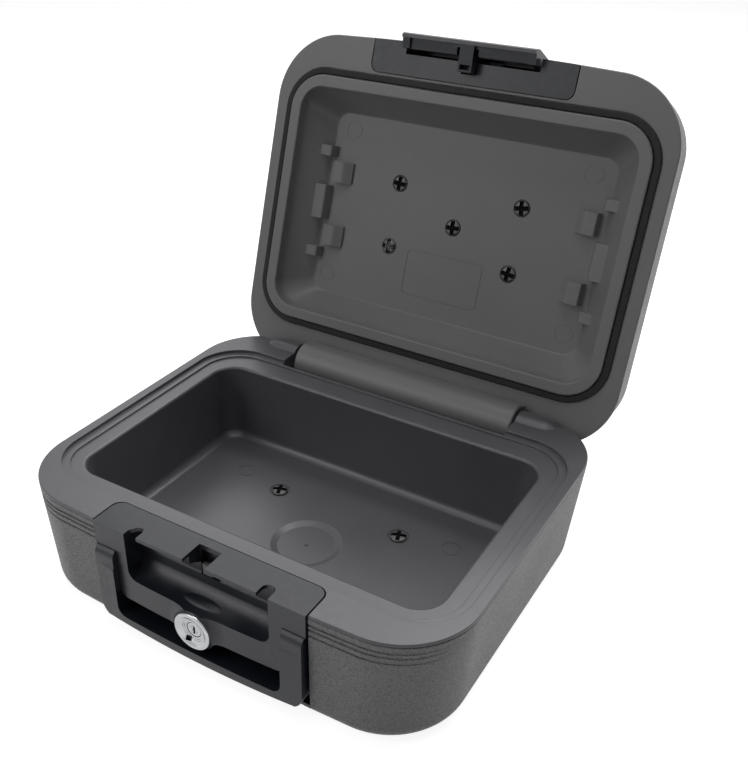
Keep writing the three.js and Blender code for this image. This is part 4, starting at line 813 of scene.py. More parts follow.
class HingeForms:
    """Cutters and knuckles on the hinge line, the same in the base and in the lid."""

    @staticmethod
    def barrel_room(extra: float) -> Solid:
        """Room in the base for the lid's hinge barrel, grown by extra."""
        s = SIZES
        radius = s.barrel_radius + s.recess_clearance + extra
        half = s.recess_half + extra
        room = turned(rod(radius, 2 * half), Axis.X, (-half, s.hinge_y, s.hinge_z))
        above = block((-half, half), (s.recess_front - extra, RIM.back + radius), (s.hinge_z - extra, s.base_height + radius))
        behind = block((-half, half), (s.hinge_y, RIM.back + radius), (s.hinge_z - radius, s.base_height))
        return room.add(above, behind)

    @staticmethod
    def knuckles(extra: float) -> Solid:
        """Round-ended knuckles on both sides, grown by extra."""
        s = SIZES
        nose = s.knuckle_length - s.knuckle_nose
        radius = s.knuckle_radius + extra
        profile = [(0.0, -extra), (radius, -extra), (radius, nose)]
        for i in range(1, 16):
            angle = math.pi / 2 * i / 16
            profile.append((radius * math.cos(angle), nose + (s.knuckle_nose + extra) * math.sin(angle)))
        profile.append((0.0, s.knuckle_length + extra))
        return turned(profile, Axis.X, (s.knuckle_start, s.hinge_y, s.hinge_z)).mirrored_pair()

    @staticmethod
    def pocket(extra: float) -> Solid:
        """Pocket in the front of the base for the lock housing and the handle."""
        s = SIZES
        half = s.housing_half + s.pocket_gap + extra
        back = s.housing_back + s.seat_gap + extra
        return block(
            (-half, half), (RIM.front - 40, back), (-1, s.base_height + 1), s.deck_corner + extra, Axis.Z
        )

    @staticmethod
    def rim_relief() -> Solid:
        """Cut that rounds the base's rim beside a knuckle, where the lid's rim rolls over."""
        s = SIZES
        x = (s.knuckle_end - 12, s.knuckle_end + 12)
        radius = s.base_height - s.hinge_z - s.seat_gap
        corner = block(x, (s.hinge_y, RIM.back + 9), (s.hinge_z, s.base_height + 1))
        corner.cut(turned(rod(radius, 26), Axis.X, (x[0] - 1, s.hinge_y, s.hinge_z)))
        return corner.mirrored_pair()

    @staticmethod
    def lid_room(extra: float) -> Solid:
        """Room in the lid behind the hinge line and round the base's knuckles."""
        s = SIZES
        half = s.knuckle_end + 2 + extra
        far = RIM.back + s.knuckle_radius
        low = s.hinge_z - s.barrel_radius - s.recess_clearance
        behind = block((-half, half), (s.hinge_y, far), (low, s.lid_land + 4.1 + extra))
        behind.cut(block((-s.barrel_half, s.barrel_half), (s.hinge_y - s.knuckle_radius, far + 1), (0, s.lid_top)))
        return HingeForms.knuckles(0.9 + extra).add(behind)


# Base


@dataclass
class Base:
    """Textured outer tub and the smooth liner with its stepped rim and cavity."""

    side_draft: float = 7.0
    front_draft: float = 1.5
    back_draft: float = 5.0
    bottom_fillet: float = 12.0
    groove_drops: tuple[float, ...] = (8.0, 12.0, 17.0)
    groove_width: float = 1.4
    groove_depth: float = 0.9
    floor: float = 18.0
    floor_fillet: float = 7.0
    mouth_fillet: float = 2.5
    draft: float = 4.0
    shelf_drop: float = 4.6
    ledge_drop: float = 3.0
    screws: tuple[Pair, ...] = ((-58.0, 30.6), (58.0, 30.6))
    dish: Triple = (-15.7, 29.0, 5.5)

    def wall_plan(self, z: float) -> Plan:
        """Outline of the drafted outer wall at a height."""
        share = 1 - z / SIZES.shell_top
        return replace(
            RIM,
            half_width=RIM.half_width - self.side_draft * share,
            front=RIM.front + self.front_draft * share,
            back=RIM.back - self.back_draft * share,
        )

    def wall_form(self, inset: float, bottom: float, top: float) -> Solid:
        """Outer form with its bottom fillet, moved in by inset."""
        steps = [(i, z + bottom) for i, z in fillet(self.bottom_fillet, 12)]
        sections = [(self.wall_plan(z).inset(i + inset), z) for i, z in steps]
        sections.append((self.wall_plan(top).inset(inset), top - 0.6))
        sections.append((self.wall_plan(top).inset(inset + 0.5), top))
        return loft(sections)

    def shell(self) -> Solid:
        """Drafted tub with grooved front corners and room for housing and hinge."""
        s = SIZES
        hollow = self.wall_form(s.wall, s.wall, s.shell_top + 1).cut(HingeForms.pocket(s.wall))
        shell = self.wall_form(0, 0, s.shell_top).cut(hollow, HingeForms.pocket(0))
        for drop in self.groove_drops:
            z = s.base_height - drop
            plan = self.wall_plan(z)
            inside = replace(plan, half_width=plan.half_width + self.groove_depth + 0.05).inset(self.groove_depth)
            half = self.groove_width / 2
            cutter = band(plan.inset(-4), inside, z - half, z + half)
            for way in (-1, 1):
                edge = replace(plan, half_width=plan.half_width + 0.45).inset(0.4)
                cutter.add(band(plan.inset(-4), edge, z + way * half - 0.42, z + way * half + 0.42))
            end = RIM.front + RIM.bow + RIM.front_radius
            cutter.keep(block((-200, 200), (RIM.front - 9, end), (0, z + 9)))
            shell.cut(cutter)
        return shell.cut(HingeForms.barrel_room(s.wall + s.seat_gap), HingeForms.knuckles(s.seat_gap))

    def cavity(self, inset: float, floor: float) -> list[tuple[Plan, float]]:
        """Sections of the cavity from its floor fillet to just under the mouth."""
        shelf = SIZES.base_height - self.shelf_drop
        sections = []
        for step, rise in fillet(self.floor_fillet, 10):
            z = floor + rise
            draft = self.draft * (1 - (z - self.floor) / (shelf - self.floor))
            sections.append((CAVITY.inset(draft + inset + step), z))
        sections.append((CAVITY.inset(inset), shelf - self.mouth_fillet))
        return sections

    def step_cut(self, plan: Plan, floor: float, top: float, low_round: float, high_round: float) -> Solid:
        """Cutter for one step of the rim, round at its foot and at its upper edge."""
        sections = [(plan.inset(i), floor + z) for i, z in fillet(low_round, 5)]
        for i in range(6):
            angle = math.pi / 2 * i / 5
            sections.append(
                (plan.inset(-high_round * (1 - math.cos(angle))), top - high_round * (1 - math.sin(angle)))
            )
        sections.append((plan.inset(-high_round), SIZES.base_height + 2))
        return loft(sections)

    def liner(self) -> Solid:
        """Smooth inner moulding: rim, steps, cavity, knuckles and the barrel's trough."""
        s = SIZES
        shelf, ledge = s.base_height - self.shelf_drop, s.base_height - self.ledge_drop
        top = [(RIM.inset(0.8), s.shell_top + s.seat_gap), (RIM, s.shell_top + 0.9)]
        for i in range(7):
            angle = math.pi / 2 * i / 6
            top.append((RIM.inset(0.9 * (1 - math.cos(angle))), s.base_height - 0.9 * (1 - math.sin(angle))))
        liner = loft(top)
        skirt_plan = RIM.inset(s.wall + 2 * s.seat_gap)
        skirt = loft([(skirt_plan, shelf - s.wall), (skirt_plan, s.base_height - 1.5)])
        skirt.cut(HingeForms.pocket(s.wall + s.seat_gap))
        tub = loft(self.cavity(-s.wall, self.floor - s.wall) + [(CAVITY.inset(-s.wall), shelf)])
        liner.add(skirt, tub)
        liner.cut(self.step_cut(LEDGE, ledge, s.base_height, 0.3, 0.5))
        liner.cut(self.step_cut(SHELF, shelf, ledge, 0.3, 0.4))
        liner.cut(HingeForms.pocket(0.35))
        wall_plan = RIM.inset(0.8)
        low = s.hinge_z - s.barrel_radius - s.recess_clearance - s.wall - 1
        liner.add(HingeForms.barrel_room(s.wall).keep(loft([(wall_plan, low), (wall_plan, ledge - 1)])))
        liner.cut(HingeForms.rim_relief())
        liner.add(HingeForms.knuckles(0)).cut(HingeForms.barrel_room(0))
        mouth = self.cavity(0, self.floor)
        for i in range(1, 9):
            angle = math.pi / 2 * i / 8
            out = self.mouth_fillet * (1 - math.cos(angle))
            mouth.append((CAVITY.inset(-out), shelf - self.mouth_fillet * (1 - math.sin(angle))))
        mouth.append((CAVITY.inset(-self.mouth_fillet), shelf + 1))
        liner.cut(loft(mouth))
        dish_y, radius, slope = self.dish
        inner = radius - slope
        curve = [
            (0.0, -2.1), (inner - 0.5, -2.1), (inner + 0.3, -1.9), (radius - 0.9, -0.35), (radius, 0.0),
            (radius + 0.1, 0.3), (0.0, 0.3),
        ]
        liner.cut(turned(curve, Axis.Z, (0, dish_y, self.floor)))
        liner.add(turned([(0, -2.6), (1.9, -2.6), (1.6, -1.6), (0.7, -0.9), (0, -0.8)], Axis.Z, (0, dish_y, self.floor)))
        for x, y in self.screws:
            seat = [(0, -9), (2.3, -9), (2.3, -1), (8.3, -1), (8.7, -0.7), (8.9, 0), (9.1, 0.4), (0, 0.4)]
            liner.cut(turned(seat, Axis.Z, (x, y, self.floor)))
        for x, y in ((-98.7, 39.0), (101.0, 39.0), (-104.0, -62.0), (104.0, -60.0)):
            mark = turned([(7.1, -0.3), (8.1, -0.3), (8.1, 0.3), (7.1, 0.3)], Axis.Z, (x, y, self.floor))
            liner.cut(mark)
        for side in Side:
            start = s.knuckle_start - 1 if side is Side.RIGHT else -s.knuckle_start - 12
            liner.cut(turned(rod(s.pin_radius + s.seat_gap, 13), Axis.X, (start, s.hinge_y, s.hinge_z)))
        return liner

    def build(self) -> None:
        """Makes both mouldings of the base."""
        finish_piece(
            self.shell(),
            Placing("base_outer_tub", "base", ("base_shell",), "textured_grey", Look.STIPPLED_GREY, smooth_angle=30),
        )
        finish_piece(
            self.liner(),
            Placing("base_inner_moulding", "base", ("base_liner",), "smooth_grey", Look.SATIN_GREY, smooth_angle=30),
        )


# Lid


@dataclass
class Lid:
    """Textured cap, smooth liner with its lip, cavity and clips, and the seal."""

    draft: float = 4.0
    top_fillet: float = 24.0
    lip_proud: float = 4.2
    lip_width: float = 10.2
    lip_round: float = 1.4
    panel_depth: float = 29.0
    seal_width: float = 5.2
    seal_gap: float = 0.7
    seal_proud: float = 2.5
    seal_groove: float = 1.5
    inlay_half: float = 90.0
    inlay_back: float = -121.5
    inlay_corner: float = 7.0
    box_half: float = 62.5
    box_back: float = -125.0
    box_rise: float = 39.6
    clip_middle: float = -3.0
    screws: tuple[Pair, ...] = ((0.0, -4.2), (-58.0, -32.2), (58.0, -32.2), (-58.0, 23.8), (58.0, 23.8))

    @property
    def panel(self) -> float:
        """Height of the closed lid's inner panel."""
        return SIZES.lid_land + self.panel_depth

    def inset_at(self, z: float) -> float:
        """Inset of the cap's outer wall at a height."""
        straight = SIZES.lid_top - self.top_fillet
        share = min((z - SIZES.lid_land) / (straight - SIZES.lid_land), 1.0)
        if z <= straight:
            return self.draft * share
        rise = min((z - straight) / self.top_fillet, 1.0)
        return self.draft + self.top_fillet * (1 - math.sqrt(max(1 - rise * rise, 0.0)))

    def cap_form(self, inset: float, bottom: float, top: float) -> Solid:
        """Outer form of the cap, moved in by inset, ending at a lower top."""
        straight = SIZES.lid_top - self.top_fillet
        shift = SIZES.lid_top - top
        sections = [(RIM.inset(self.inset_at(bottom) + inset), bottom)]
        for i in range(15):
            z = straight + self.top_fillet * math.sin(math.pi / 2 * i / 14)
            sections.append((RIM.inset(self.inset_at(z) + inset), z - shift))
        return loft(sections)

    def latch_room(self, extra: float) -> Solid:
        """Room for the latch plate's box behind the flap."""
        half = self.box_half + extra
        top = SIZES.lid_land + self.box_rise + extra
        return block((-half, half), (RIM.front - 20, self.box_back + extra), (SIZES.base_height - 20, top))

    def inlay(self, extra: float, z: Pair) -> Solid:
        """Rounded inlay in the rim for the latch plate."""
        half = self.inlay_half + extra
        return block((-half, half), (RIM.front - 30, self.inlay_back + extra), z, self.inlay_corner + extra, Axis.Z)

    def shell(self) -> Solid:
        """Textured cap with its latch opening and hinge room."""
        s = SIZES
        bottom = s.lid_land + s.flange + s.seat_gap
        shell = self.cap_form(0, bottom, s.lid_top)
        shell.cut(self.cap_form(s.wall, bottom - 1, s.lid_top - s.wall))
        shell.cut(self.latch_room(s.seat_gap), HingeForms.lid_room(s.wall + s.seat_gap))
        half = s.barrel_half + s.seat_gap
        return shell.cut(turned(rod(s.barrel_radius + s.seat_gap, 2 * half), Axis.X, (-half, s.hinge_y, s.hinge_z)))

    def cavity(self, inset: float, bottom: float, top: float) -> list[tuple[Plan, float]]:
        """Sections of the lid's cavity from the lip to the panel."""
        mouth = LIP.inset(self.lip_width)
        depth = top - bottom
        sections = [(mouth.inset(inset - self.lip_round), bottom - 1)]
        for i in range(7):
            angle = math.pi / 2 * i / 6
            out = self.lip_round * (1 - math.sin(angle))
            sections.append((mouth.inset(inset - out), bottom + self.lip_round * (1 - math.cos(angle))))
        curve = ((0.04, 0.16), (0.12, 0.35), (0.86, 0.92), (0.91, 0.957), (0.945, 0.977), (0.972, 0.99), (1.0, 1.0))
        for share, rise in curve:
            sections.append((mouth.toward(PANEL, share).inset(inset), bottom + rise * depth))
        return sections

    def clips(self) -> list[Solid]:
        """Paper clips on the right side of the panel."""
        panel, middle = self.panel, self.clip_middle
        made = []
        for way in (-1, 1):
            y = middle + way * 28.75
            profile = [
                (106.6, panel + 1), (106.6, panel - 2.2), (108.4, panel - 3.6), (113.8, panel - 8), (124.4, panel - 8),
                (125.4, panel + 1),
            ]
            made.append(prism(profile, Axis.Y, y - 9.25, y + 9.25, {2: 0.8, 3: 1.6, 4: 1.4}, 4))
        for shift, length, inner in ((-46.0, 9.0, 128.4), (0.0, 30.6, 128.4), (46.0, 9.0, 128.4)):
            z, y, outer = panel - 9, middle + shift, 142.0
            profile = [
                (inner, z), (outer, z - 0.6), (outer, panel + 1), (inner - 3.2, panel + 1), (inner - 3.0, panel - 1.6),
            ]
            made.append(prism(profile, Axis.Y, y - length / 2, y + length / 2, {0: 1.4}, 4))
        return made

    def liner(self) -> Solid:
        """Smooth inner moulding: flange, lip, sloped walls, panel, clips and hinge barrel."""
        s = SIZES
        face, top = s.lid_land - self.lip_proud, s.lid_land + s.flange
        flange = [(RIM.inset(1.3 * (1 - math.sin(a))), s.lid_land + 1.3 * (1 - math.cos(a))) for a in
                  [math.pi / 2 * i / 6 for i in range(7)]]
        liner = loft([*flange, (RIM, top)])
        lip = [(LIP.inset(i), face + z) for i, z in fillet(self.lip_round, 6)]
        liner.add(loft([*lip, (LIP, s.lid_land + 1)]))
        liner.add(loft(self.cavity(-s.wall, s.lid_land + 1, self.panel + s.wall)[1:]))
        outside = LIP.inset(-self.seal_width - 2 * self.seal_gap)
        liner.cut(band(outside, LIP, s.lid_land - 1, s.lid_land + self.seal_groove))
        liner.cut(self.latch_room(s.seat_gap), self.inlay(0.9, (s.lid_land - 1, top + 1)))
        wall = RIM.inset(0.6)
        liner.add(HingeForms.lid_room(s.wall).keep(loft([(wall, s.lid_land), (wall, s.lid_top)])))
        liner.cut(HingeForms.lid_room(0))
        half = s.barrel_half
        long = 2 * half + 3.3
        barrel = turned(
            [(0, 0), (s.barrel_radius - 1, 0), (s.barrel_radius, 1), (s.barrel_radius, long - 1),
             (s.barrel_radius - 1, long), (0, long)], Axis.X, (-half, s.hinge_y, s.hinge_z), 96)
        arm = prism(
            [(s.hinge_y - 16, s.lid_land + 1), (s.hinge_y - 16, s.lid_land - 0.6),
             (s.hinge_y - s.barrel_radius * 0.8, s.hinge_z), (s.hinge_y, s.hinge_z), (s.hinge_y + 9, s.lid_land + 1)],
            Axis.X, -half, half + 3.3,
        ).keep(loft([(RIM, 0), (RIM, s.lid_top)]))
        liner.add(barrel, arm)
        cavity = loft(self.cavity(0, face, self.panel))
        for clip in self.clips():
            cavity.cut(clip.mirrored_pair())
        liner.cut(cavity)
        for x, y in self.screws:
            seat = [(0, 9), (2.3, 9), (2.3, 1), (6.9, 1), (7.3, 0.6), (7.5, 0), (7.6, -0.4), (0, -0.4)]
            liner.cut(turned(seat, Axis.Z, (x, y, self.panel)))
        for x, y in ((-117.0, 61.0), (117.0, 61.0), (-112.0, -70.0), (112.0, -70.0)):
            liner.cut(turned([(7.1, -0.3), (8.1, -0.3), (8.1, 0.3), (7.1, 0.3)], Axis.Z, (x, y, self.panel)))
        frame_cut = block((-38.4, 35.4), (21.6, 62.6), (self.panel - 0.4, self.panel + 0.35), 4.4, Axis.Z)
        frame_cut.cut(block((-37.3, 34.3), (22.7, 61.5), (self.panel - 1, self.panel + 1), 3.4, Axis.Z))
        liner.cut(frame_cut)
        for side in Side:
            start = half - 12 if side is Side.RIGHT else -half - 1
            liner.cut(turned(rod(s.pin_radius + s.seat_gap, 17), Axis.X, (start, s.hinge_y, s.hinge_z)))
        return liner

    def seal(self) -> Solid:
        """Rubber strip round the lip, with a rounded outer edge."""
        s = SIZES
        low, high = s.lid_land - self.seal_proud, s.lid_land + self.seal_groove - s.seat_gap
        outside = LIP.inset(-self.seal_width - self.seal_gap)
        sections = [(outside.inset(i), low + z) for i, z in fillet(1.0, 6)]
        strip = loft([*sections, (outside, high)])
        inner = LIP.inset(-self.seal_gap)
        hole = [(inner.inset(-1.0), low - 1), (inner.inset(-1.0), low), (inner.inset(-0.3), low + 0.35), (inner, low + 1)]
        return strip.cut(loft([*hole, (inner, high + 1)]))

    def build(self) -> None:
        """Makes the cap, the liner and the seal."""
        finish_piece(
            self.shell(),
            Placing("lid_outer_cap", "lid", ("lid_shell",), "textured_grey", Look.STIPPLED_GREY, smooth_angle=30),
        )
        finish_piece(
            self.liner(),
            Placing("lid_inner_moulding", "lid", ("lid_liner",), "smooth_grey", Look.LID_GREY, smooth_angle=28),
        )
        finish_piece(
            self.seal(),
            Placing("lid_seal_strip", "lid", ("lid_seal",), "black_rubber", Look.SEAL_RUBBER, smooth_angle=40),
        )


# Front: lock housing, handle and key lock


@dataclass
class Front:
    """Black housing in the front of the base, with the handle and the key lock."""

    face: float = -151.3
    bow: float = 3.6
    plate_half: float = 70.8
    plate_bottom: float = 32.0
    chamfer: float = 6.0
    channel_back: float = -125.5
    scoop_half: float = 60.5
    scoop_bottom: float = 52.5
    scoop_rise: float = 12.6
    scoop_back: float = -131.0
    lip: float = 3.0
    lip_front: float = -148.3
    shoulder: float = 73.4
    lock_z: float = 38.0
    boss_radius: float = 17.0
    boss_proud: float = 2.5
    handle_half: float = 87.7
    handle_leg: float = 16.6
    handle_front: float = -155.8
    handle_back: float = -137.0
    handle_bottom: float = 9.5
    handle_bar: float = 7.5
    handle_bow: float = 2.8
    leg_back: float = -139.0
    leg_top: float = 72.9
    pivot: Pair = (-146.0, 65.9)
    case_window: tuple[Pair, Pair] = ((-6.2, -1.7), (-10.3, -6.7))

    @property
    def barrel_face(self) -> float:
        """Place of the key barrel's front."""
        return self.face - self.boss_proud - 0.2

    def plate_points(self) -> tuple[list[Pair], dict[int, float]]:
        """Outline of the front plate with its swell round the lock, and the corner roundings."""
        half, low, radius, small = self.plate_half, self.plate_bottom, self.boss_radius, 4.0
        rise = self.lock_z - (low - small)
        meet_x = math.sqrt((radius + small) ** 2 - rise**2)
        meet = math.atan2(rise, meet_x)
        left: list[Pair] = []
        for i in range(9):
            a = math.pi / 2 - (math.pi / 2 - meet) * i / 8
            left.append((-meet_x + small * math.cos(a), low - small + small * math.sin(a)))
        swell = []
        for i in range(1, 32):
            a = math.pi + meet + (math.pi - 2 * meet) * i / 32
            swell.append((radius * math.cos(a), self.lock_z + radius * math.sin(a)))
        right = [(-x, z) for x, z in reversed(left)]
        top = SIZES.base_height
        points = [(-half, top), (-half, low), *left, *swell, *right, (half, low), (half, top)]
        return points, {1: self.chamfer, len(points) - 2: self.chamfer}

    def housing(self) -> Solid:
        """Deck, shoulders, bowed plate, finger scoop, notches and latch slot."""
        s = SIZES
        half, back = s.housing_half, s.housing_back
        body = block((-half, half), (RIM.front - s.deck_corner, back), (3, s.base_height), s.deck_corner, Axis.Z)
        body.keep(block((-half - 1, half + 1), (RIM.front, back + 1), (0, s.base_height)))
        body.cut(block((-half - 1, half + 1), (RIM.front - 1, self.channel_back), (2, self.shoulder)))
        points, rounds = self.plate_points()
        plate = prism(points, Axis.Y, self.face, self.channel_back + 1, rounds)
        plate.keep(prism(bowed_plan(half, self.face, self.bow, self.channel_back + 1), Axis.Z, 0, s.base_height))
        front = self.face - self.boss_proud - 1.7
        depth = self.channel_back - front
        flare = [(15.3, 0.0), (15.7, 0.7), (16.2, 1.5), (17.0, 2.3), (18.4, 3.1), (20.4, 3.8), (22.6, 4.2), (25.0, 4.5)]
        boss = turned([(0, 0), *flare, (25.0, depth), (0, depth)], Axis.Y, (0, front, self.lock_z))
        boss.keep(prism(points, Axis.Y, front - 1, self.channel_back + 1, rounds))
        bore = [(0, -1), (14.9, -1), (14.9, 1.5), (9.8, 2.3), (9.8, depth + 5), (0, depth + 5)]
        lock_bore = turned(bore, Axis.Y, (0, front, self.lock_z))
        floor = block((-half + 1, half - 1), (-143, self.channel_back + 1), (3, 6))
        body.add(plate, boss, floor)
        body.cut(self.scoop(), lock_bore)
        body.cut(block((-8.8, 7.8), (self.scoop_back - 1, self.scoop_back + 7), (68, s.base_height - self.lip - 1)))
        wall = [(-141.5, 89.5), (-141.5, 83), (self.scoop_back + 0.5, 77.5), (self.scoop_back + 0.5, 89.5)]
        body.add(prism(wall, Axis.X, -10.2, -8.8))
        cut = s.base_height - self.lip - 1
        body.cut(block((-self.scoop_half, self.scoop_half), (self.face - 1, self.lip_front), (cut, s.base_height + 1)))
        for side in Side:
            reach = side.value * self.scoop_half
            if side is Side.LEFT:
                shape = [(reach, -156), (-50.5, -156), (-50.5, -141.5), (-52.2, -137.8), (-56.5, -138.4), (reach, -144)]
                body.cut(prism(shape, Axis.Z, cut, s.base_height + 1, {3: 0.8, 4: 1.2, 5: 2.0}))
            else:
                body.cut(block((50.5, reach), (self.face - 5, -137.5), (cut, s.base_height + 1), 4.8, Axis.Z))
        body.cut(block((-10, 9), (self.face - 1, -129.5), (79.4, s.base_height + 1)))
        return body

    def scoop(self) -> Solid:
        """Finger scoop: a curved trough with round lower corners and a soft dome above the lock."""
        top = SIZES.base_height - self.lip
        curve = []
        for i in range(25):
            a = math.pi / 2 * i / 24
            y = self.face + (self.scoop_back - self.face) * math.sin(a)
            curve.append((y, self.scoop_bottom + self.scoop_rise * (1 - math.cos(a))))
        ridge = self.scoop_back - 1.0
        back = [(ridge, 66.6), (ridge, 68.0), (self.scoop_back, 69.4), (self.scoop_back, top)]
        curve = [point for point in curve if point[1] < 66 and point[0] < ridge]
        trough = prism(
            [(self.face - 3, self.scoop_bottom), *curve, *back, (self.face - 3, top)],
            Axis.X, -self.scoop_half, self.scoop_half)
        mouth = block(
            (-self.scoop_half, self.scoop_half), (self.face - 5, self.scoop_back + 1),
            (self.scoop_bottom, SIZES.base_height + 12), 8.0, Axis.Y)
        trough.keep(mouth)
        dome = turned(
            [(math.sin(math.pi * i / 24), -math.cos(math.pi * i / 24)) for i in range(25)], Axis.Z, (0, 0, 0))
        dome.moved(Matrix.Translation((0, -139.0, 48.4)) @ Matrix.Diagonal((30.0, 11.0, 7.0, 1.0)))
        return trough.cut(dome)

    def handle(self) -> Solid:
        """Fold-down handle: bowed bar, two legs with round tops and pin bores."""
        half, inner = self.handle_half, self.handle_half - self.handle_leg
        low, reach = self.handle_bottom, (self.leg_back - (self.handle_front + self.handle_bow)) / 2
        body = block(
            (-half, half), (self.handle_front - 1, self.handle_back), (low, self.leg_top + 20), 12.0, Axis.Y, 14)
        body.keep(
            prism(bowed_plan(half, self.handle_front, self.handle_bow, self.handle_back + 1), Axis.Z, 0, self.leg_top))
        body.cut(
            block((-inner, inner), (self.handle_front - 5, self.handle_back + 5), (low + self.handle_bar, 140), 7.5,
                  Axis.Y, 12))
        belly = [(half * i / 16, low + 2.0 * (i / 16) ** 2) for i in range(-16, 17)]
        body.cut(prism([*belly, (half, low - 5), (-half, low - 5)], Axis.Y, self.handle_front - 5, self.handle_back + 5))
        leg_front = self.handle_front + self.handle_bow
        top = [(self.pivot[0] - reach * math.cos(math.pi * i / 24), self.pivot[1] + reach * math.sin(math.pi * i / 24))
               for i in range(25)]
        side = [(self.handle_front - 2, 0), (self.handle_back, 0), (self.handle_back, low + self.handle_bar - 1),
                (self.leg_back, low + 2 * self.handle_bar), *reversed(top), (leg_front, self.pivot[1] - reach),
                (leg_front - 3.5, self.pivot[1] - 2 * reach)]
        body.keep(prism(side, Axis.X, -half - 1, half + 1))
        for way in (-1, 1):
            start = half - 23.3 if way > 0 else -half + 0.7
            body.cut(turned(rod(2.5, 22.6), Axis.X, (start, *self.pivot)))
        return body

    def lock_case(self) -> Solid:
        """Dished chrome rim and threaded tube of the key lock."""
        front = self.face - self.boss_proud - 3.4
        bore, back = 6.2, 1.8
        profile = [
            (bore, 3.3), (bore + 0.5, 3.0), (bore + 1.3, 3.0), (bore + 1.5, 2.6), (bore + 2.6, 2.5), (bore + 2.8, 2.1),
            (10.6, 1.6), (11.0, 1.1), (12.0, 0.75), (12.3, 0.35), (13.0, 0.05), (13.9, 0.1), (14.7, 0.45), (15.1, 0.95),
            (15.2, back), (15.2, 3.1), (9.5, 3.6), (9.5, 22.2), (bore, 22.2),
        ]
        rim = turned(profile, Axis.Y, (0, front, self.lock_z), 96)
        (left, right), (low, high) = self.case_window
        window = block((left, right), (front - 1, front + 4.6), (self.lock_z + low, self.lock_z + high), 0.3, Axis.Y, 3)
        return rim.cut(window)

    def lock_key_barrel(self) -> Solid:
        """Turning plug with its key slot."""
        front = self.barrel_face
        length = 18.7
        profile = [(0, 0.5), (2.6, 0.5), (3.1, 0.05), (4.9, 0), (5.7, 0.25), (6.0, 0.7), (6.0, length), (0, length)]
        plug = turned(profile, Axis.Y, (0, front, self.lock_z), 72)
        return plug.cut(
            block((-0.75, 0.75), (front - 1, front + 6), (self.lock_z - 3.5, self.lock_z + 3.5), 0.3, Axis.Y, 3),
            block((-1.5, 0), (front - 1, front + 5), (self.lock_z - 1.0, self.lock_z + 0.2)))

    def build(self) -> None:
        """Makes the housing, handle and lock face."""
        black = Look.SATIN_BLACK
        finish_piece(self.housing(), Placing("front_housing", "base", ("lock_housing",), "black_plastic", black, 0.45))
        finish_piece(self.handle(), Placing("carry_handle", "handle", ("handle",), "black_plastic", black, 0.9, 3))
        reach, (across, down) = self.lock_z, self.case_window
        # The lock window's faces take a near-black painted shade.
        finish_piece(
            self.lock_case(),
            Placing(
                "lock_rim", "base", ("lock_body",), "satin_chrome", Look.SATIN_CHROME,
                recess=lambda p: (across[0] - 0.1 < p.x < across[1] + 0.1 and down[0] - 0.1 < p.z - reach < down[1] + 0.1
                                  and p.y > self.barrel_face - 0.6),
                recess_shade_look=Look.SHADE_BLACK))
        # The key slot's faces take a near-black painted shade.
        finish_piece(
            self.lock_key_barrel(),
            Placing(
                "key_barrel", "lock_cylinder", ("lock_plug",), "satin_chrome", Look.SATIN_CHROME,
                recess=lambda p: abs(p.x + 0.3) < 1.25 and abs(p.z - reach) < 3.55 and p.y > self.barrel_face + 0.4,
                recess_shade_look=Look.SHADE_BLACK))


@dataclass
class Latch:
    """Latch plate and flap in the front of the lid."""

    def build(self) -> None:
        """Softens the edges of both latch mouldings."""
        black = Look.SATIN_BLACK
        finish_piece(node_copy("latch_plate"), Placing("latch_inlay", "lid", ("latch_plate",), "black_plastic", black, 0.35))
        finish_piece(node_copy("latch_flap"), Placing("latch_lever", "latch", ("latch_flap",), "black_plastic", black, 0.4))


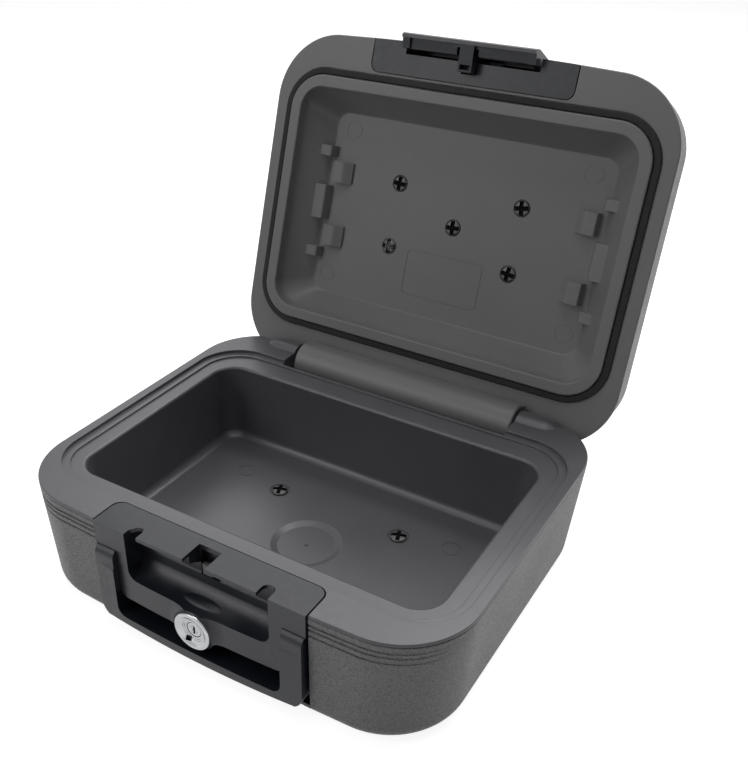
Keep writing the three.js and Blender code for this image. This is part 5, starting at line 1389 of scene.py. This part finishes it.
@dataclass
class Screws:
    """Cross-head screws in the base's floor and the lid's panel."""

    head: float = 6.0
    height: float = 2.6
    length: float = 9.0
    cross_span: float = 10.8
    cross_width: float = 3.1

    def screw(self) -> Solid:
        """One pan-head screw that points down, its head's underside at zero."""
        profile = [(0.0, -self.length), (1.6, -self.length), (2.0, -self.length + 0.6), (2.0, 0.0), (self.head, 0.0)]
        for i in range(9):
            a = math.pi / 2 * i / 8
            profile.append((self.head * (0.62 + 0.38 * math.cos(a)), 0.5 + (self.height - 0.9) * math.sin(a)))
        profile.append((self.head * 0.3, self.height - 0.05))
        profile.append((0.0, self.height))
        body = turned(profile, Axis.Z, (0, 0, 0), 40)
        half, width = self.cross_span / 2, self.cross_width / 2
        for turn in (0, math.pi / 2):
            slot = prism(
                [(-half, self.height + 1), (-half, self.height - 1.3), (-half * 0.6, self.height - 2.1),
                 (half * 0.6, self.height - 2.1), (half, self.height - 1.3), (half, self.height + 1)],
                Axis.Y, -width, width)
            body.cut(slot.moved(Matrix.Rotation(turn, 4, "Z")))
        return body

    def in_cross(self, point: Vector) -> bool:
        """Whether a point of the upright screw lies in the cross recess, whose faces take a near-black painted shade.
        """
        across = min(abs(point.x), abs(point.y)) < self.cross_width / 2 + 0.02
        reach = math.hypot(point.x, point.y)
        share = min(max((reach / self.head - 0.62) / 0.38, 0.0), 1.0)
        top = 0.5 + (self.height - 0.9) * math.sqrt(1 - share**2)
        return across and 0.2 < point.z < top - 0.12 and reach < self.cross_span / 2 + 0.05

    def build(self, base: Base, lid: Lid) -> None:
        """Sets a screw in every seat of the base and the lid."""
        seat = base.floor - 1 + SIZES.seat_gap
        large = replace(self, head=7.1, cross_span=12.4, cross_width=3.4)
        for word, (x, y) in zip(("left", "right"), base.screws):
            place = Matrix.Translation((x, y, seat)) @ Matrix.Rotation(math.radians(20), 4, "Z")
            node = f"base_screw_{word}"
            # The cross recess's faces take a near-black painted shade.
            finish_piece(
                large.screw().moved(place),
                Placing(
                    f"floor_screw_{word}", "base", (node,), "black_screw", Look.BLACK_SCREW, 0.1, 1,
                    recess=lambda point, back=place.inverted(): large.in_cross(back @ point),
                    recess_shade_look=Look.SHADE_BLACK))
        seat = lid.panel + 1 - SIZES.seat_gap
        flip = Matrix.Rotation(math.pi, 4, "X")
        wide = replace(self, head=6.6, cross_span=12.2, cross_width=3.9)
        turns = (4.0, -3.0, 9.0, 2.0, -6.0)
        for number, (x, y) in enumerate(lid.screws, 1):
            turn = Matrix.Rotation(math.radians(turns[number - 1]), 4, "Z")
            place = Matrix.Translation((x, y, seat)) @ flip @ turn
            # The cross recess's faces take a near-black painted shade.
            finish_piece(
                wide.screw().moved(place),
                Placing(
                    f"panel_screw_{number}", "lid", (f"lid_screw_{number}",), "black_screw", Look.BLACK_SCREW, 0.1, 1,
                    recess=lambda point, back=(lid_turn() @ place).inverted(): wide.in_cross(back @ point),
                    recess_shade_look=Look.SHADE_BLACK))


class HiddenParts:
    """CAD nodes whose shape is right and that only take their finish."""

    LOOKS: dict[str, Look] = {
        "base_insulation": Look.CAST_FILL,
        "lid_insulation": Look.CAST_FILL,
        "lock_nut": Look.ZINC_STEEL,
        "lock_cam": Look.ZINC_STEEL,
        "lock_bolt": Look.DARK_STEEL,
        "hinge_pin_left": Look.ZINC_STEEL,
        "hinge_pin_right": Look.ZINC_STEEL,
        "handle_pin_left": Look.ZINC_STEEL,
        "handle_pin_right": Look.ZINC_STEEL,
        "latch_pin": Look.ZINC_STEEL,
        "latch_spring": Look.ZINC_STEEL,
    }

    @classmethod
    def build(cls) -> None:
        """Gives each of these nodes its material."""
        for node, look in cls.LOOKS.items():
            mesh = frame["nodes"][node].data
            mesh.materials.clear()
            mesh.materials.append(look.material())
            LOG.info("%s: CAD shape with %s", node, look.value.name)


# Camera, floor and light


@dataclass(frozen=True)
class Studio:
    """Camera at the photograph's angle, pale floor and soft light."""

    camera_place: Triple = (0.34142, -0.51987, 0.51919)
    right: Triple = (0.8503728564, 0.5261064972, 0.0088294221)
    down: Triple = (0.2790022749, -0.4366116174, -0.8552941168)
    forward: Triple = (-0.4461207636, 0.7297823300, -0.5180675778)
    focal_pixels: float = 980.512
    principal: Pair = (343.437, 400.334)
    image: tuple[int, int] = (748, 765)

    def camera(self) -> None:
        """Makes the camera and sets it as the scene's own."""
        data = bpy.data.cameras.new("camera")
        obj = bpy.data.objects.new("camera", data)
        bpy.context.scene.collection.objects.link(obj)
        columns = [Vector(self.right), -Vector(self.down), -Vector(self.forward), Vector(self.camera_place)]
        obj.matrix_world = Matrix([[*(column[i] for column in columns)] for i in range(3)] + [[0, 0, 0, 1]])
        width, height = self.image
        data.sensor_fit = "VERTICAL"
        data.sensor_height = 36.0
        data.lens = self.focal_pixels * data.sensor_height / height
        data.shift_x = (width / 2 - self.principal[0]) / height
        data.shift_y = (self.principal[1] - height / 2) / height
        data.clip_start = 0.01
        bpy.context.scene.camera = obj

    @staticmethod
    def seen_rays(tree: bpy.types.NodeTree) -> bpy.types.NodeSocket:
        """Adds camera, glossy and transmission rays up, capped at one.

        Args:
            tree: node tree of the floor or the world.

        Returns:
            The socket that is one for those rays.
        """
        rays = tree.nodes.new("ShaderNodeLightPath")
        total = rays.outputs["Is Camera Ray"]
        for name in ("Is Glossy Ray", "Is Transmission Ray"):
            both = tree.nodes.new("ShaderNodeMath")
            both.operation = "ADD"
            both.use_clamp = True
            tree.links.new(total, both.inputs[0])
            tree.links.new(rays.outputs[name], both.inputs[1])
            total = both.outputs["Value"]
        return total

    def floor(self) -> None:
        """Pale floor that looks white to the camera and keeps a soft shadow."""
        bm = bmesh.new()
        bmesh.ops.create_circle(bm, cap_ends=True, radius=8.0, segments=64)
        mesh = bpy.data.meshes.new("floor")
        bm.to_mesh(mesh)
        bm.free()
        obj = bpy.data.objects.new("floor", mesh)
        bpy.context.scene.collection.objects.link(obj)
        made = bpy.data.materials.new("floor_white")
        made.use_nodes = True
        nodes, link = made.node_tree.nodes, made.node_tree.links.new
        shader = nodes["Principled BSDF"]
        shader.inputs["Base Color"].default_value = (0.5, 0.5, 0.5, 1)
        shader.inputs["Roughness"].default_value = 0.9
        shader.inputs["Specular IOR Level"].default_value = 0.1
        shader.inputs["Emission Color"].default_value = (1, 1, 1, 1)
        seen = self.seen_rays(made.node_tree)
        glow = nodes.new("ShaderNodeEmission")
        glow.inputs["Strength"].default_value = 0.88
        both = nodes.new("ShaderNodeAddShader")
        link(shader.outputs["BSDF"], both.inputs[0])
        link(glow.outputs["Emission"], both.inputs[1])
        choose = nodes.new("ShaderNodeMixShader")
        link(seen, choose.inputs["Fac"])
        link(shader.outputs["BSDF"], choose.inputs[1])
        link(both.outputs["Shader"], choose.inputs[2])
        link(choose.outputs["Shader"], nodes["Material Output"].inputs["Surface"])
        mesh.materials.append(made)

    def world(self) -> None:
        """White to the camera and a plain grey fill to the object."""
        world = bpy.data.worlds.new("studio")
        world.use_nodes = True
        bpy.context.scene.world = world
        nodes, link = world.node_tree.nodes, world.node_tree.links.new
        fill = nodes["Background"]
        fill.inputs["Color"].default_value = (1, 1, 1, 1)
        fill.inputs["Strength"].default_value = 0.02
        white = nodes.new("ShaderNodeBackground")
        white.inputs["Strength"].default_value = 1.0
        seen = self.seen_rays(world.node_tree)
        choose = nodes.new("ShaderNodeMixShader")
        link(seen, choose.inputs["Fac"])
        link(fill.outputs["Background"], choose.inputs[1])
        link(white.outputs["Background"], choose.inputs[2])
        link(choose.outputs["Shader"], nodes["World Output"].inputs["Surface"])

    def lamp(self, name: str, place: Triple, target: Triple, size: float, power: float) -> None:
        """One square soft lamp aimed at a point.

        Args:
            name: the lamp's name.
            place: where it hangs.
            target: what it faces.
            size: edge length.
            power: watts.
        """
        data = bpy.data.lights.new(name, "AREA")
        data.shape = "SQUARE"
        data.size = size
        data.energy = power
        obj = bpy.data.objects.new(name, data)
        bpy.context.scene.collection.objects.link(obj)
        aim = (Vector(target) - Vector(place)).to_track_quat("-Z", "Y")
        obj.matrix_world = Matrix.Translation(place) @ aim.to_matrix().to_4x4()

    def build(self) -> None:
        """Sets up camera, floor, world and lamps."""
        scene = bpy.context.scene
        scene.view_settings.view_transform = "Standard"
        self.camera()
        self.floor()
        self.world()
        target = (0.0, 0.0, 0.12)
        self.lamp("back_left_soft", (-0.9, 1.3, 1.5), target, 1.2, 8.0)
        self.lamp("back_right_soft", (0.9, 1.4, 1.5), target, 1.2, 11.0)
        self.lamp("back_top_soft", (0.0, 1.2, 1.9), target, 1.0, 17.0)
        self.lamp("top_soft", (0.0, 0.0, 2.0), target, 1.0, 6.0)
        self.lamp("front_top_soft", (-0.9, -1.1, 1.6), target, 0.8, 4.5)
        self.lamp("front_left_soft", (-1.1, -1.6, 1.2), target, 1.0, 5.5)


def main() -> None:
    """Builds the chest piece by piece, then the studio, and logs each piece's face count."""
    logging.basicConfig(level=logging.INFO, format="%(name)s: %(message)s")
    base, lid = Base(), Lid()
    base.build()
    lid.build()
    Front().build()
    Latch().build()
    Screws().build(base, lid)
    HiddenParts.build()
    Studio().build()


if __name__ == "__main__":
    main()
